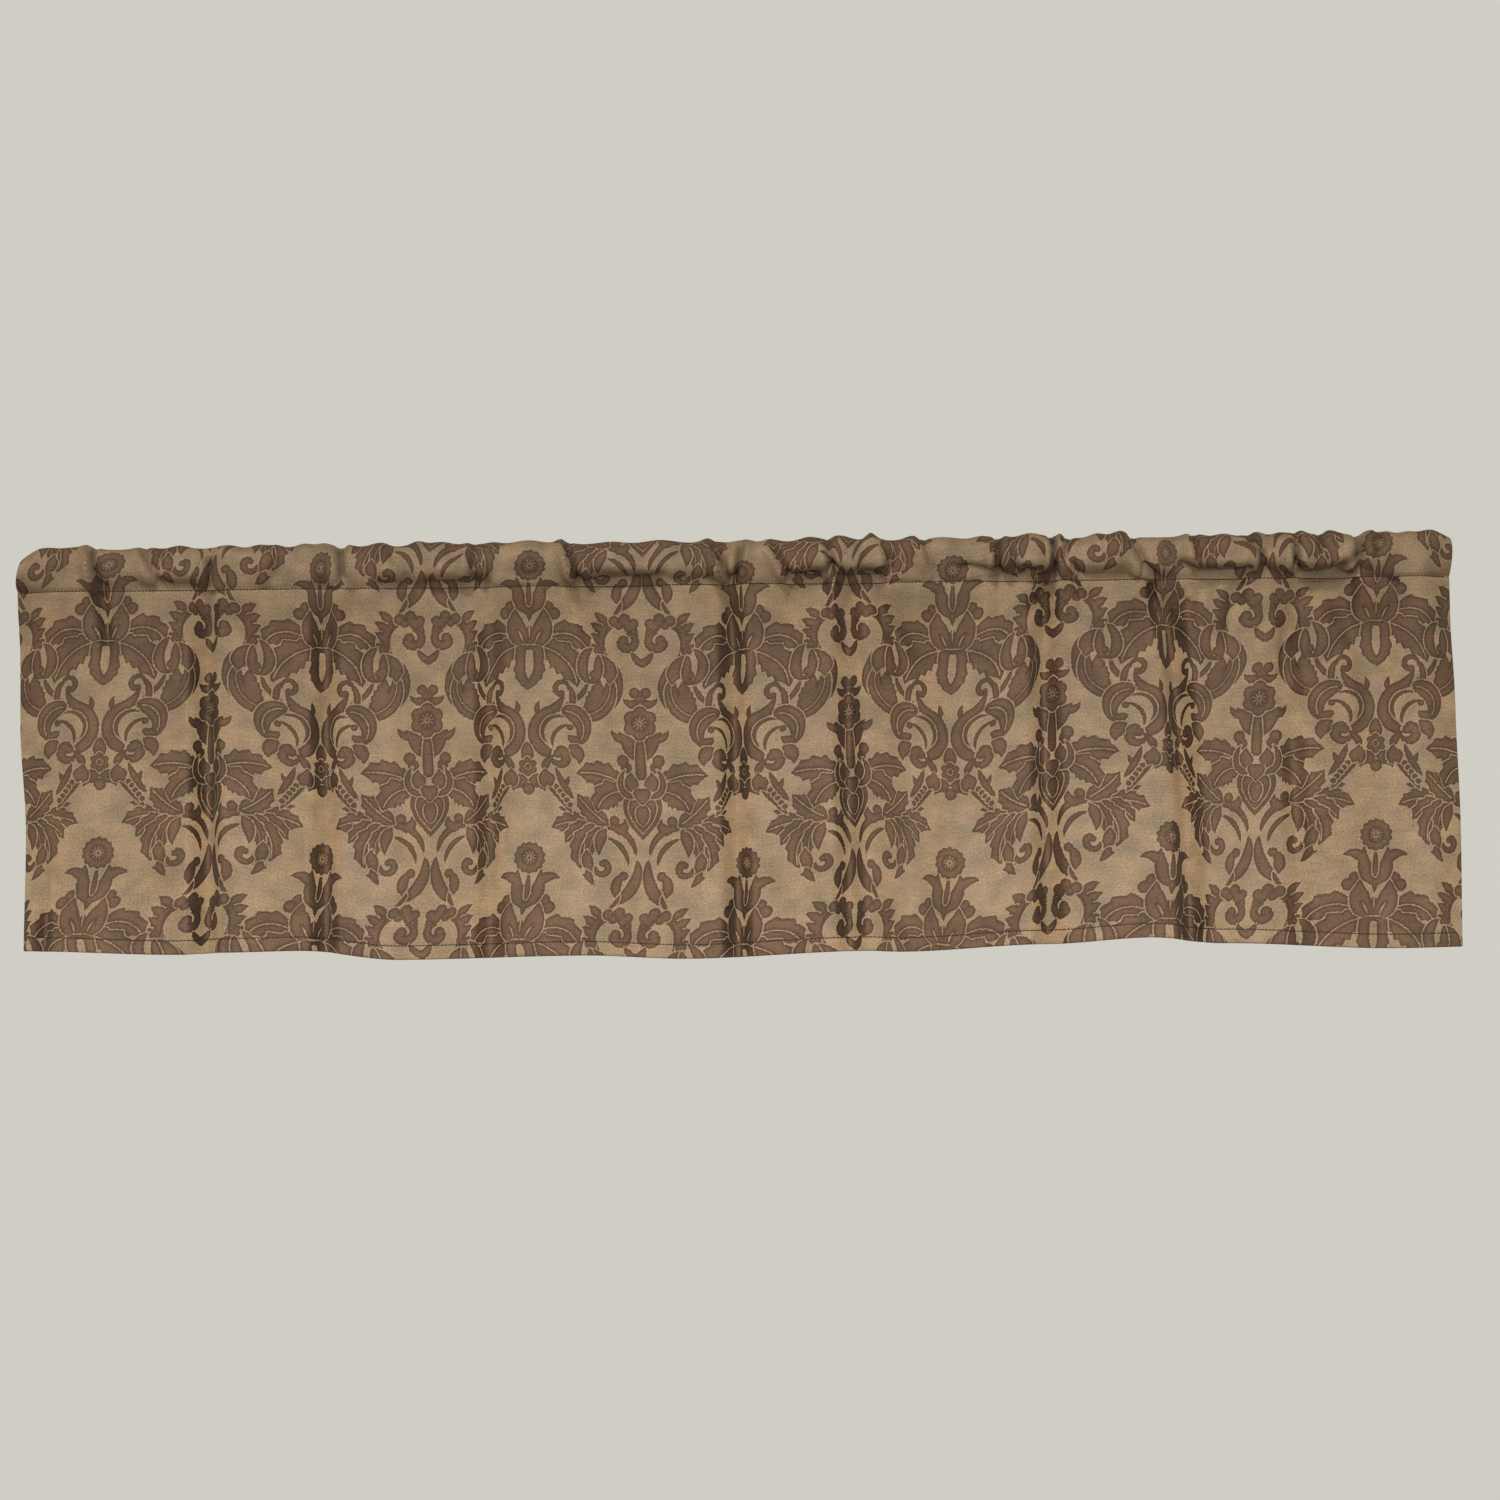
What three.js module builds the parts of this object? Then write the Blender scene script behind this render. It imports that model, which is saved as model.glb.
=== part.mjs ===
// A rod-pocket valance as it hangs: one cut of jacquard cloth, hemmed at its foot and sides,
// whose top is turned over to the back and sewn down as a pocket for the rod.
// Millimetres, +Z up, X along the rod, the face of the cloth towards -Y.
// The origin is the middle of the top edge, where the rod carries the cloth.
import * as THREE from "three";

// Driving dimensions
const DROP = 360; // top edge to the foot of the hem
const POCKET_HEIGHT = 36; // top edge to the row of stitches under the pocket
const POCKET_DEPTH = 24; // front to back of the pocket, held open as by its rod
const CLOTH = 1.2; // one layer of cloth
const HEM = 13; // turned-up hem at the foot
const SIDE_HEM = 16; // turned-back hem at each side

// How finely the cloth is divided
const COLUMNS = 138;
const STEEP = 0.3; // slope of a fold from which its columns are halved
const POCKET_ROWS = 10;
const PANEL_SHARES = [1, 0.66, 0.4, 0.2, 0.09, 0]; // rows above the hem: 1 at the hem, 0 at the stitches

// The sides of the cloth at three heights, left and right of the middle of the rod
const SIDES = [
  { z: -DROP, left: -624, right: 622 },
  { z: -250, left: -623, right: 623 },
  { z: -150, left: -629, right: 621 },
  { z: -POCKET_HEIGHT, left: -630, right: 617 },
  { z: 0, left: -626, right: 618 },
];

// The foot of the hem: how far it hangs below the drop
const HEM_LINE = [
  { x: -627, lower: -10 },
  { x: -490, lower: -6 },
  { x: -455, lower: -7.5 },
  { x: -385, lower: -8.5 },
  { x: -300, lower: 0 },
  { x: -140, lower: -2.5 },
  { x: -50, lower: 1 },
  { x: 105, lower: -4.5 },
  { x: 135, lower: -3.5 },
  { x: 260, lower: -9 },
  { x: 350, lower: -14 },
  { x: 410, lower: -8.5 },
  { x: 560, lower: -3 },
  { x: 627, lower: -4 },
];

// Hanging folds, ridge and valley by turns: narrow pleats and broad swells between them.
// x and depth are at the stitches, footX and footDepth at the hem. Depth is towards the wall, so a ridge is negative.
const FOLDS = [
  { x: -627, footX: -623, depth: 0, footDepth: 0 },
  { x: -575, footX: -570, depth: -5, footDepth: -6 },
  { x: -520, footX: -522, depth: -3, footDepth: -4 },
  { x: -480, footX: -479, depth: -6, footDepth: -7 },
  { x: -465, footX: -463, depth: 10, footDepth: 11 },
  { x: -450, footX: -447, depth: -5, footDepth: -6 },
  { x: -410, footX: -412, depth: -3, footDepth: -4 },
  { x: -375, footX: -374, depth: -5, footDepth: -6 },
  { x: -360, footX: -359, depth: 9, footDepth: 9 },
  { x: -345, footX: -344, depth: -4, footDepth: -5 },
  { x: -300, footX: -298, depth: 0, footDepth: -1 },
  { x: -231, footX: -231, depth: -5, footDepth: -6 },
  { x: -215, footX: -216, depth: 4, footDepth: 5 },
  { x: -199, footX: -199, depth: -4, footDepth: -5 },
  { x: -123, footX: -118, depth: 1, footDepth: -2 },
  { x: -75, footX: -79, depth: -5, footDepth: -6 },
  { x: -20, footX: -16, depth: -6, footDepth: -7 },
  { x: -5, footX: -1, depth: 9, footDepth: 10 },
  { x: 10, footX: 14, depth: -5, footDepth: -6 },
  { x: 50, footX: 52, depth: -4, footDepth: -5 },
  { x: 82, footX: 81, depth: -6, footDepth: -7 },
  { x: 97, footX: 96, depth: 7, footDepth: 9 },
  { x: 112, footX: 111, depth: -4, footDepth: -5 },
  { x: 150, footX: 150, depth: 3, footDepth: 4 },
  { x: 191, footX: 191, depth: -5, footDepth: -6 },
  { x: 250, footX: 251, depth: -7, footDepth: -8 },
  { x: 266, footX: 267, depth: 7, footDepth: 9 },
  { x: 283, footX: 284, depth: -4, footDepth: -5 },
  { x: 325, footX: 330, depth: -5, footDepth: -6 },
  { x: 355, footX: 374, depth: -6, footDepth: -7 },
  { x: 371, footX: 390, depth: 13, footDepth: 13 },
  { x: 387, footX: 406, depth: -5, footDepth: -5 },
  { x: 425, footX: 436, depth: -3, footDepth: -4 },
  { x: 460, footX: 468, depth: -5, footDepth: -5 },
  { x: 474, footX: 482, depth: 3, footDepth: 3 },
  { x: 488, footX: 496, depth: -4, footDepth: -4 },
  { x: 520, footX: 530, depth: -2, footDepth: -1 },
  { x: 545, footX: 556, depth: 5, footDepth: 4 },
  { x: 584, footX: 593, depth: -5, footDepth: -5 },
  { x: 621, footX: 623, depth: 0, footDepth: 0 },
];

// Gathers over the rod. x is at the top edge, lean moves a gather sideways on its way down to the stitches,
// rise is how far it stands off the pocket, half is its half width and reach how far down it runs,
// where 1 is the row of stitches.
const GATHERS = [
  { x: -603, lean: 0, rise: 2.5, half: 14, reach: 0.5 },
  { x: -582, lean: 0, rise: 2, half: 9, reach: 0.6 },
  { x: -567, lean: 8, rise: 5, half: 9, reach: 1.2 },
  { x: -518, lean: 14, rise: 2.5, half: 11, reach: 1 },
  { x: -487, lean: 0, rise: 3, half: 10, reach: 0.6 },
  { x: -445, lean: 0, rise: 3, half: 11, reach: 0.6 },
  { x: -416, lean: 0, rise: 3, half: 9, reach: 0.5 },
  { x: -402, lean: 0, rise: 2.5, half: 7, reach: 0.6 },
  { x: -377, lean: 0, rise: 3.5, half: 9, reach: 0.4 },
  { x: -360, lean: 2, rise: 3.5, half: 9, reach: 1 },
  { x: -340, lean: 0, rise: 2, half: 8, reach: 1 },
  { x: -311, lean: 12, rise: 3.5, half: 10, reach: 0.5 },
  { x: -278, lean: 0, rise: 4, half: 8, reach: 0.4 },
  { x: -258, lean: 0, rise: 3.5, half: 14, reach: 0.8 },
  { x: -231, lean: 3, rise: 3, half: 8, reach: 0.7 },
  { x: -212, lean: 0, rise: 2.5, half: 9, reach: 0.6 },
  { x: -181, lean: 0, rise: 4, half: 18, reach: 0.8 },
  { x: -151, lean: 14, rise: 5, half: 8, reach: 1.1 },
  { x: -108, lean: 0, rise: 2, half: 14, reach: 0.6 },
  { x: -66, lean: 0, rise: 3, half: 16, reach: 0.6 },
  { x: -24, lean: 18, rise: 4, half: 8, reach: 1.1 },
  { x: 7, lean: -8, rise: 3, half: 8, reach: 1 },
  { x: 31, lean: 14, rise: 3, half: 8, reach: 1.1 },
  { x: 64, lean: 0, rise: 4, half: 11, reach: 0.6 },
  { x: 90, lean: 0, rise: 5, half: 13, reach: 0.6 },
  { x: 120, lean: 4, rise: 3, half: 8, reach: 0.8 },
  { x: 154, lean: 20, rise: 4, half: 9, reach: 0.9 },
  { x: 180, lean: 0, rise: 2.5, half: 16, reach: 0.6 },
  { x: 214, lean: 0, rise: 3, half: 10, reach: 0.7 },
  { x: 231, lean: 4, rise: 3, half: 8, reach: 1 },
  { x: 256, lean: 10, rise: 5, half: 13, reach: 0.6 },
  { x: 280, lean: -6, rise: 5, half: 9, reach: 1.2 },
  { x: 314, lean: 0, rise: 4, half: 9, reach: 0.7 },
  { x: 334, lean: -6, rise: 6, half: 10, reach: 0.8 },
  { x: 396, lean: 4, rise: 4, half: 10, reach: 0.9 },
  { x: 423, lean: 0, rise: 2.5, half: 9, reach: 0.6 },
  { x: 450, lean: 5, rise: 4, half: 9, reach: 0.8 },
  { x: 472, lean: 0, rise: 3, half: 8, reach: 0.6 },
  { x: 488, lean: -2, rise: 5, half: 8, reach: 1.1 },
  { x: 514, lean: 0, rise: 4.5, half: 11, reach: 0.6 },
  { x: 555, lean: -10, rise: 5.5, half: 13, reach: 1 },
  { x: 582, lean: 0, rise: 2.5, half: 8, reach: 0.5 },
  { x: 601, lean: 0, rise: 4, half: 11, reach: 0.5 },
];

// Ends of the cloth: how its side edges curl back, and how far the top corners droop past the rod
const CURL = { left: 8, right: 6, width: 26, below: 60 };
const DROOP = { left: 9, right: 4, width: 20 };

// How a fold starts at the stitches and opens out below them
const FOLD_START = 0.35;
const FOLD_OPENS = 45;
const PUCKER_FALL = 34; // how fast a gather dies out below the stitches
const PUCKER_SHARE = 0.55; // of its rise, where it passes the stitches

const STITCH_Z = -POCKET_HEIGHT;
const CUSP_POWER = 0.5; // how blunt the pocket is above the stitches
const CUSP_PEAK = 0.86; // widest value of the pocket's section curve
const CUSP_ANGLE = Math.PI / 6; // where the pocket's two layers part
const STEP = 0.5; // for slopes, in mm of width or height

const clamp = (value) => Math.min(1, Math.max(0, value));
const ease = (value) => clamp(value) ** 2 * (3 - 2 * clamp(value));
const bell = (value) => Math.exp(-value * value);
const { lerp } = THREE.MathUtils;

// Reads a table at one place, easing from row to row.
function along(rows, place, at, read) {
  const next = rows.findIndex((row) => place(row) >= at);
  if (next === 0) return read(rows[0]);
  if (next < 0) return read(rows[rows.length - 1]);
  const [before, after] = [rows[next - 1], rows[next]];
  const share = (at - place(before)) / (place(after) - place(before));
  return lerp(read(before), read(after), ease(share));
}

// X at a share of the width, from 0 at the left side to 1 at the right.
function acrossAt(share, z) {
  const side = (name) => along(SIDES, (row) => row.z, z, (row) => row[name]);
  return lerp(side("left"), side("right"), share);
}

// Depth of the hanging folds below the stitches.
function foldDepth(x, z) {
  const fallen = clamp((STITCH_Z - z) / (DROP - POCKET_HEIGHT));
  const opened = 1 - (1 - fallen) ** 2;
  const place = (row) => lerp(row.x, row.footX, opened);
  const depth = along(FOLDS, place, x, (row) => lerp(row.depth, row.footDepth, opened));
  return depth * lerp(FOLD_START, 1, ease((STITCH_Z - z) / FOLD_OPENS));
}

// The side edges turn back towards the wall, more so below the pocket.
function edgeCurl(share, x, z) {
  const fromLeft = x - acrossAt(0, z);
  const fromRight = acrossAt(1, z) - x;
  const left = CURL.left * clamp(1 - fromLeft / CURL.width) ** 2;
  const right = CURL.right * clamp(1 - fromRight / CURL.width) ** 2;
  return (left + right) * ease((STITCH_Z - z) / CURL.below);
}

// The ends of gathers that run on below the stitches.
function puckers(x, z) {
  return GATHERS.filter((row) => row.reach >= 1).reduce((sum, row) => {
    const off = (x - row.x - row.lean) / row.half;
    return sum + PUCKER_SHARE * row.rise * bell(off) * Math.exp((z - STITCH_Z) / PUCKER_FALL);
  }, 0);
}

// Middle of the cloth on the hanging panel. fallen is 0 at the stitches and 1 at the foot of the hem.
function panelPoint(share, fallen) {
  const x0 = acrossAt(share, STITCH_Z);
  const foot = -DROP - along(HEM_LINE, (row) => row.x, x0, (row) => row.lower);
  const z = lerp(STITCH_Z, foot, fallen);
  const x = acrossAt(share, z);
  return new THREE.Vector3(x, foldDepth(x, z) + edgeCurl(share, x, z) - puckers(x, z), z);
}

// How far the gathers lift the pocket. height is 0 at the stitches and 1 at the top edge.
function gatherLift(x, height) {
  return GATHERS.reduce((sum, row) => {
    const off = (x - row.x - row.lean * (1 - height)) / row.half;
    const fade = ease((row.reach - (1 - height)) / 0.45);
    return sum + row.rise * bell(off) * fade;
  }, 0);
}

// Middle of the cloth round the pocket. The angle runs from the stitches up the front, over the top
// at half a turn, and down the back to the stitches again.
function pocketPoint(share, angle) {
  const height = (1 - Math.cos(angle)) / 2;
  const x = acrossAt(share, lerp(STITCH_Z, 0, height));
  const leftEnd = clamp(1 - (x - acrossAt(0, 0)) / DROOP.width) ** 2;
  const rightEnd = clamp(1 - (acrossAt(1, 0) - x) / DROOP.width) ** 2;
  const top = -DROOP.left * leftEnd - DROOP.right * rightEnd;
  const middle = (STITCH_Z + top) / 2;
  const wide = POCKET_DEPTH / 2 / CUSP_PEAK;
  const around = new THREE.Vector2(
    -wide * Math.sin(angle) * Math.sin(angle / 2) ** CUSP_POWER,
    (middle - STITCH_Z) * -Math.cos(angle),
  );
  around.setLength(around.length() + gatherLift(x, height));
  const atStitches = panelPoint(share, 0).y * (1 - height) ** 3;
  return new THREE.Vector3(x, around.x + atStitches, middle + around.y);
}

// Outward normal of the cloth, from its slopes along the width and along its own run.
function normalOf(point, share, place, step) {
  const stepShare = STEP / 1000;
  const alongWidth = point(Math.min(1, share + stepShare), place)
    .sub(point(Math.max(0, share - stepShare), place));
  const alongRun = point(share, place + step).sub(point(share, place - step));
  return alongWidth.cross(alongRun).normalize();
}

const panelNormal = (share, fallen) => normalOf(panelPoint, share, fallen, -STEP / DROP);
const pocketNormal = (share, angle) => normalOf(pocketPoint, share, angle, STEP / POCKET_HEIGHT);

// One section across the cloth: its outer outline, from the hem up the face, round the pocket and down the
// back, and the outline of the pocket's inside.
function section(share) {
  const x = acrossAt(share, STITCH_Z);
  const fromSide = Math.min(x - acrossAt(0, STITCH_Z), acrossAt(1, STITCH_Z) - x);
  const sideLayers = fromSide < SIDE_HEM ? 2 : 1;
  const offset = (point, normal, distance) => point.addScaledVector(normal, distance);
  const front = (fallen) => offset(panelPoint(share, fallen), panelNormal(share, fallen), CLOTH / 2);
  const back = (fallen, layers) =>
    offset(panelPoint(share, fallen), panelNormal(share, fallen), CLOTH / 2 - layers * CLOTH);
  const round = (angle, distance) => offset(pocketPoint(share, angle), pocketNormal(share, angle), distance);

  const hemTop = 1 - HEM / (DROP - POCKET_HEIGHT);
  const rows = PANEL_SHARES.map((row) => row * hemTop);
  const angles = Array.from({ length: POCKET_ROWS }, (_, row) =>
    lerp(CUSP_ANGLE, 2 * Math.PI - CUSP_ANGLE, row / (POCKET_ROWS - 1)));
  const hemLayers = sideLayers + 1;
  const outer = [
    front(1),
    ...rows.map(front),
    ...angles.map((angle) => round(angle, CLOTH / 2)),
    ...rows.toReversed().map((fallen) => back(fallen, fallen === 0 ? hemLayers : sideLayers)),
    back(hemTop, hemLayers),
    back(1, hemLayers),
  ];
  const inner = angles.map((angle) => round(angle, -CLOTH / 2));
  return { outer, inner };
}

// Closed surface through all sections, with a face at each end of the cloth and the pocket left open.
function clothGeometry(sections) {
  const outerCount = sections[0].outer.length;
  const ring = outerCount + sections[0].inner.length;
  const positions = sections.flatMap(({ outer, inner }) => [...outer, ...inner])
    .flatMap((point) => point.toArray());
  const faces = [];

  const skin = (column, start, count, turned) => {
    for (let row = 0; row < count; row++) {
      const here = column * ring + start;
      const [a, d] = [here + row, here + ((row + 1) % count)];
      const [b, c] = [a + ring, d + ring];
      faces.push(...(turned ? [a, c, b, a, d, c] : [a, b, c, a, c, d]));
    }
  };
  for (let column = 0; column < sections.length - 1; column++) {
    skin(column, 0, outerCount, false);
    skin(column, outerCount, ring - outerCount, true);
  }

  const cap = (column, facing) => {
    const { outer, inner } = sections[column];
    const flat = (points) => points.map((point) => new THREE.Vector2(point.y, point.z));
    const places = [...flat(outer), ...flat(inner)];
    for (const corners of THREE.ShapeUtils.triangulateShape(flat(outer), [flat(inner)])) {
      const turn = THREE.ShapeUtils.area(corners.map((corner) => places[corner]));
      const ordered = turn * facing > 0 ? corners : corners.toReversed();
      faces.push(...ordered.map((corner) => column * ring + corner));
    }
  };
  cap(0, -1);
  cap(sections.length - 1, 1);

  const geometry = new THREE.BufferGeometry();
  geometry.setAttribute("position", new THREE.Float32BufferAttribute(positions, 3));
  geometry.setIndex(faces);
  geometry.computeVertexNormals();
  return geometry;
}

// Shares of the width for the sections, closer together where a fold is steep.
function columnShares() {
  const even = Array.from({ length: COLUMNS + 1 }, (_, column) => column / COLUMNS);
  const heights = [0.4, 0.7, 1].map((fallen) => lerp(STITCH_Z, -DROP, fallen));
  const isSteep = (from, to) => heights.some((z) => {
    const [x0, x1] = [acrossAt(from, z), acrossAt(to, z)];
    return Math.abs(foldDepth(x1, z) - foldDepth(x0, z)) > STEEP * (x1 - x0);
  });
  return even.flatMap((share, column) => {
    const before = even[column - 1] ?? share;
    return column > 0 && isSteep(before, share) ? [(before + share) / 2, share] : [share];
  });
}

const jacquard = new THREE.MeshStandardMaterial({ color: 0x99836a, roughness: 0.7, metalness: 0 });
const sections = columnShares().map(section);
const cloth = new THREE.Mesh(clothGeometry(sections), jacquard);
cloth.name = "valance_cloth";

const valance = new THREE.Group();
valance.add(cloth);

export default valance;
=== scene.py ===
"""Rod-pocket valance of damask jacquard, dressed on its CAD frame.

The cloth is one thin sheet laid on the folds of the CAD solid, with its hems and pocket turned from the
same cloth, finer gathers and creases, the damask woven in by nodes, and two rows of stitches.
Tables are in millimetres, as the cloth was measured; the mesh is made in metres.
"""
import math
from collections import namedtuple

import bpy
import numpy as np
from mathutils import Matrix, Vector


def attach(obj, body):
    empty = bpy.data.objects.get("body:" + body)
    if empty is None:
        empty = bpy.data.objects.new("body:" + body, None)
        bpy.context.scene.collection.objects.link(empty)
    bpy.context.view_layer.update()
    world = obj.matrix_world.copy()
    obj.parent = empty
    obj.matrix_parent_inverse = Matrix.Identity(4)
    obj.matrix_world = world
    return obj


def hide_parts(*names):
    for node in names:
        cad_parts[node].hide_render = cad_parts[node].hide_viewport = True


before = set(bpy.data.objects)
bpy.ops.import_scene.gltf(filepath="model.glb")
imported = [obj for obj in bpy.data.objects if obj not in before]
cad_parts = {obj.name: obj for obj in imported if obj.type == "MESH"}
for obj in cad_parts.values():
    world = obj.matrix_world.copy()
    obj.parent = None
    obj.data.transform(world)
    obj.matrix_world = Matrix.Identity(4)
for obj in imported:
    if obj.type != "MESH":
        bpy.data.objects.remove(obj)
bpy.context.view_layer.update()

MM = 0.001

# The cloth as sewn
DROP = 360.0  # top edge to the foot of the hem
POCKET_HEIGHT = 36.0  # top edge to the row of stitches under the pocket
POCKET_DEPTH = 24.0
HEM = 13.0
SIDE_HEM = 16.0
LAYER = 1.0  # from the middle of one layer of cloth to the next
CLOTH = 0.55  # thickness of one layer
LIP = 3.0  # the pocket's back layer runs on this far below its stitches
FLAT_WIDTH = 1335.0  # between the folded side edges, pulled flat
STITCH_Z = -POCKET_HEIGHT
PANEL = DROP - POCKET_HEIGHT
POCKET_SEAM = 1.2  # the stitches themselves, below the pocket's foot
HEM_SEAM = 11.8  # above the foot of the hem
SEAM_HALF, SEAM_DEPTH = 1.3, 0.4  # of the dip along a row of stitches
HUNG_WIDTH = 1250.0  # between the sides of the hung cloth, for spacing columns and stitches

Side = namedtuple("Side", "z left right")
SIDES = [
    Side(-DROP, -624, 622),
    Side(-250, -623, 623),
    Side(-150, -629, 621),
    Side(STITCH_Z, -630, 617),
    Side(0, -626, 618),
]

# The foot of the hem: how far it hangs below the drop
HemPoint = namedtuple("HemPoint", "x lower")
HEM_LINE = [HemPoint(*row) for row in [
    (-627, -10), (-490, -6), (-455, -7.5), (-385, -8.5), (-300, 0), (-140, -2.5), (-50, 1), (105, -4.5),
    (135, -3.5), (260, -9), (350, -14), (410, -8.5), (560, -3), (627, -4),
]]

# Hanging folds, at the stitches and at the foot: narrow pleats and broad swells between them. Depth is
# towards the wall, so a ridge is negative.
Fold = namedtuple("Fold", "x foot_x depth foot_depth")
FOLDS = [Fold(*row) for row in [
    (-627, -623, 0, 0), (-575, -570, -5, -6), (-520, -522, -3, -4), (-480, -479, -6, -7),
    (-465, -463, 10, 11), (-450, -447, -5, -6), (-410, -412, -3, -4), (-375, -374, -5, -6),
    (-360, -359, 9, 9), (-345, -344, -4, -5), (-300, -298, 0, -1), (-231, -231, -5, -6),
    (-215, -216, 4, 5), (-199, -199, -4, -5), (-123, -118, 1, -2), (-75, -79, -5, -6),
    (-20, -16, -6, -7), (-5, -1, 9, 10), (10, 14, -5, -6), (50, 52, -4, -5), (82, 81, -6, -7),
    (97, 96, 7, 9), (112, 111, -4, -5), (150, 150, 3, 4), (191, 191, -5, -6), (250, 251, -7, -8),
    (266, 267, 7, 9), (283, 284, -4, -5), (325, 330, -5, -6), (355, 374, -6, -7), (371, 390, 13, 13),
    (387, 406, -5, -5), (425, 436, -3, -4), (460, 468, -5, -5), (474, 482, 3, 3), (488, 496, -4, -4),
    (520, 530, -2, -1), (545, 556, 5, 4), (584, 593, -5, -5), (621, 623, 0, 0),
]]
FOLD_START = 0.35  # share of a fold's depth at the stitches
FOLD_OPENS = 45.0  # below the stitches, where it has its full depth

# Gathers over the rod: x at the top edge, lean on the way down, rise off the pocket, half width, and
# reach down the pocket, where 1 is the row of stitches
Gather = namedtuple("Gather", "x lean rise half reach")
GATHERS = [Gather(*row) for row in [
    (-603, 0, 2.5, 14, 0.5), (-582, 0, 2, 9, 0.6), (-567, 8, 5, 9, 1.2), (-518, 14, 2.5, 11, 1),
    (-487, 0, 3, 10, 0.6), (-445, 0, 3, 11, 0.6), (-416, 0, 3, 9, 0.5), (-402, 0, 2.5, 7, 0.6),
    (-377, 0, 3.5, 9, 0.4), (-360, 2, 3.5, 9, 1), (-340, 0, 2, 8, 1), (-311, 12, 3.5, 10, 0.5),
    (-278, 0, 4, 8, 0.4), (-258, 0, 3.5, 14, 0.8), (-231, 3, 3, 8, 0.7), (-212, 0, 2.5, 9, 0.6),
    (-181, 0, 4, 18, 0.8), (-151, 14, 5, 8, 1.1), (-108, 0, 2, 14, 0.6), (-66, 0, 3, 16, 0.6),
    (-24, 18, 4, 8, 1.1), (7, -8, 3, 8, 1), (31, 14, 3, 8, 1.1), (64, 0, 4, 11, 0.6),
    (90, 0, 5, 13, 0.6), (120, 4, 3, 8, 0.8), (154, 20, 4, 9, 0.9), (180, 0, 2.5, 16, 0.6),
    (214, 0, 3, 10, 0.7), (231, 4, 3, 8, 1), (256, 10, 5, 13, 0.6), (280, -6, 5, 9, 1.2),
    (314, 0, 4, 9, 0.7), (334, -6, 6, 10, 0.8), (396, 4, 4, 10, 0.9), (423, 0, 2.5, 9, 0.6),
    (450, 5, 4, 9, 0.8), (472, 0, 3, 8, 0.6), (488, -2, 5, 8, 1.1), (514, 0, 4.5, 11, 0.6),
    (555, -10, 5.5, 13, 1), (582, 0, 2.5, 8, 0.5), (601, 0, 4, 11, 0.5),
]]
GATHER_FADE = 0.45  # share of the pocket's height over which a gather ends
PUCKER_FALL = 34.0  # how fast a gather dies out below the stitches
PUCKER_SHARE = 0.55  # of its rise, where it passes the stitches

# Creases pressed into the face of the pocket, from one point to another. Height is 0 at the stitches and
# 1 at the top edge; a negative depth is a ridge.
Crease = namedtuple("Crease", "x height to_x to_height depth half")
POCKET_CREASES = [Crease(*row) for row in [
    (-563, 0.95, -553, 0.0, 4.0, 3.0), (-517, 0.9, -499, 0.05, 2.6, 3.5),
    (-458, 0.7, -459, 0.0, 2.4, 3.0), (-401, 0.75, -402, 0.2, 1.8, 4.0),
    (-345, 1.0, -342, 0.1, 3.0, 3.2), (-300, 0.8, -288, 0.3, 1.4, 5.0),
    (-229, 0.9, -228, 0.3, 2.4, 3.6), (-147, 0.9, -134, 0.0, 4.2, 3.2),
    (-120, 0.3, -66, 0.22, 1.6, 5.0), (-19, 0.87, -3, 0.06, 4.0, 3.0), (5, 0.87, 0, 0.12, 2.8, 3.0),
    (33, 0.84, 48, 0.13, 4.0, 3.0), (48, 0.15, 82, 0.35, 2.6, 3.6), (80, 0.9, 85, 0.08, 2.6, 3.2),
    (86, 0.3, 129, 0.25, 2.6, 3.8), (97, 0.3, 117, 0.95, -2.0, 4.0), (133, 0.65, 133, 0.25, 2.0, 3.2),
    (162, 0.95, 173, 0.1, 2.0, 4.0), (197, 0.25, 228, 0.25, 2.4, 3.8), (228, 1.0, 226, 0.45, 3.4, 3.0),
    (226, 0.45, 234, 0.05, 3.4, 3.0), (239, 0.38, 257, 0.2, 3.2, 3.6), (257, 0.2, 275, 0.33, 3.2, 3.6),
    (275, 1.0, 276, 0.0, 4.4, 3.0), (288, 1.0, 284, 0.5, 2.4, 3.2), (292, 0.35, 297, 0.0, 2.4, 3.0),
    (344, 0.95, 354, 0.2, 2.4, 3.4), (354, 0.2, 362, 0.0, 3.6, 3.2), (397, 0.95, 399, 0.5, 2.6, 3.2),
    (385, 0.3, 408, 0.1, 3.0, 3.8), (408, 0.1, 441, 0.15, 3.0, 3.8), (445, 0.9, 454, 0.5, 2.8, 3.2),
    (454, 0.5, 457, 0.05, 2.8, 3.2), (485, 0.9, 483, 0.35, 3.6, 3.0), (483, 0.35, 490, 0.1, 3.6, 3.0),
    (487, 0.1, 507, 0.05, 3.4, 3.6), (507, 0.05, 537, 0.5, 3.4, 3.6), (507, 1.0, 505, 0.65, 2.2, 3.0),
    (538, 0.95, 538, 0.1, 2.8, 3.2), (557, 1.0, 552, 0.45, 1.8, 4.0),
]]

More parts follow.
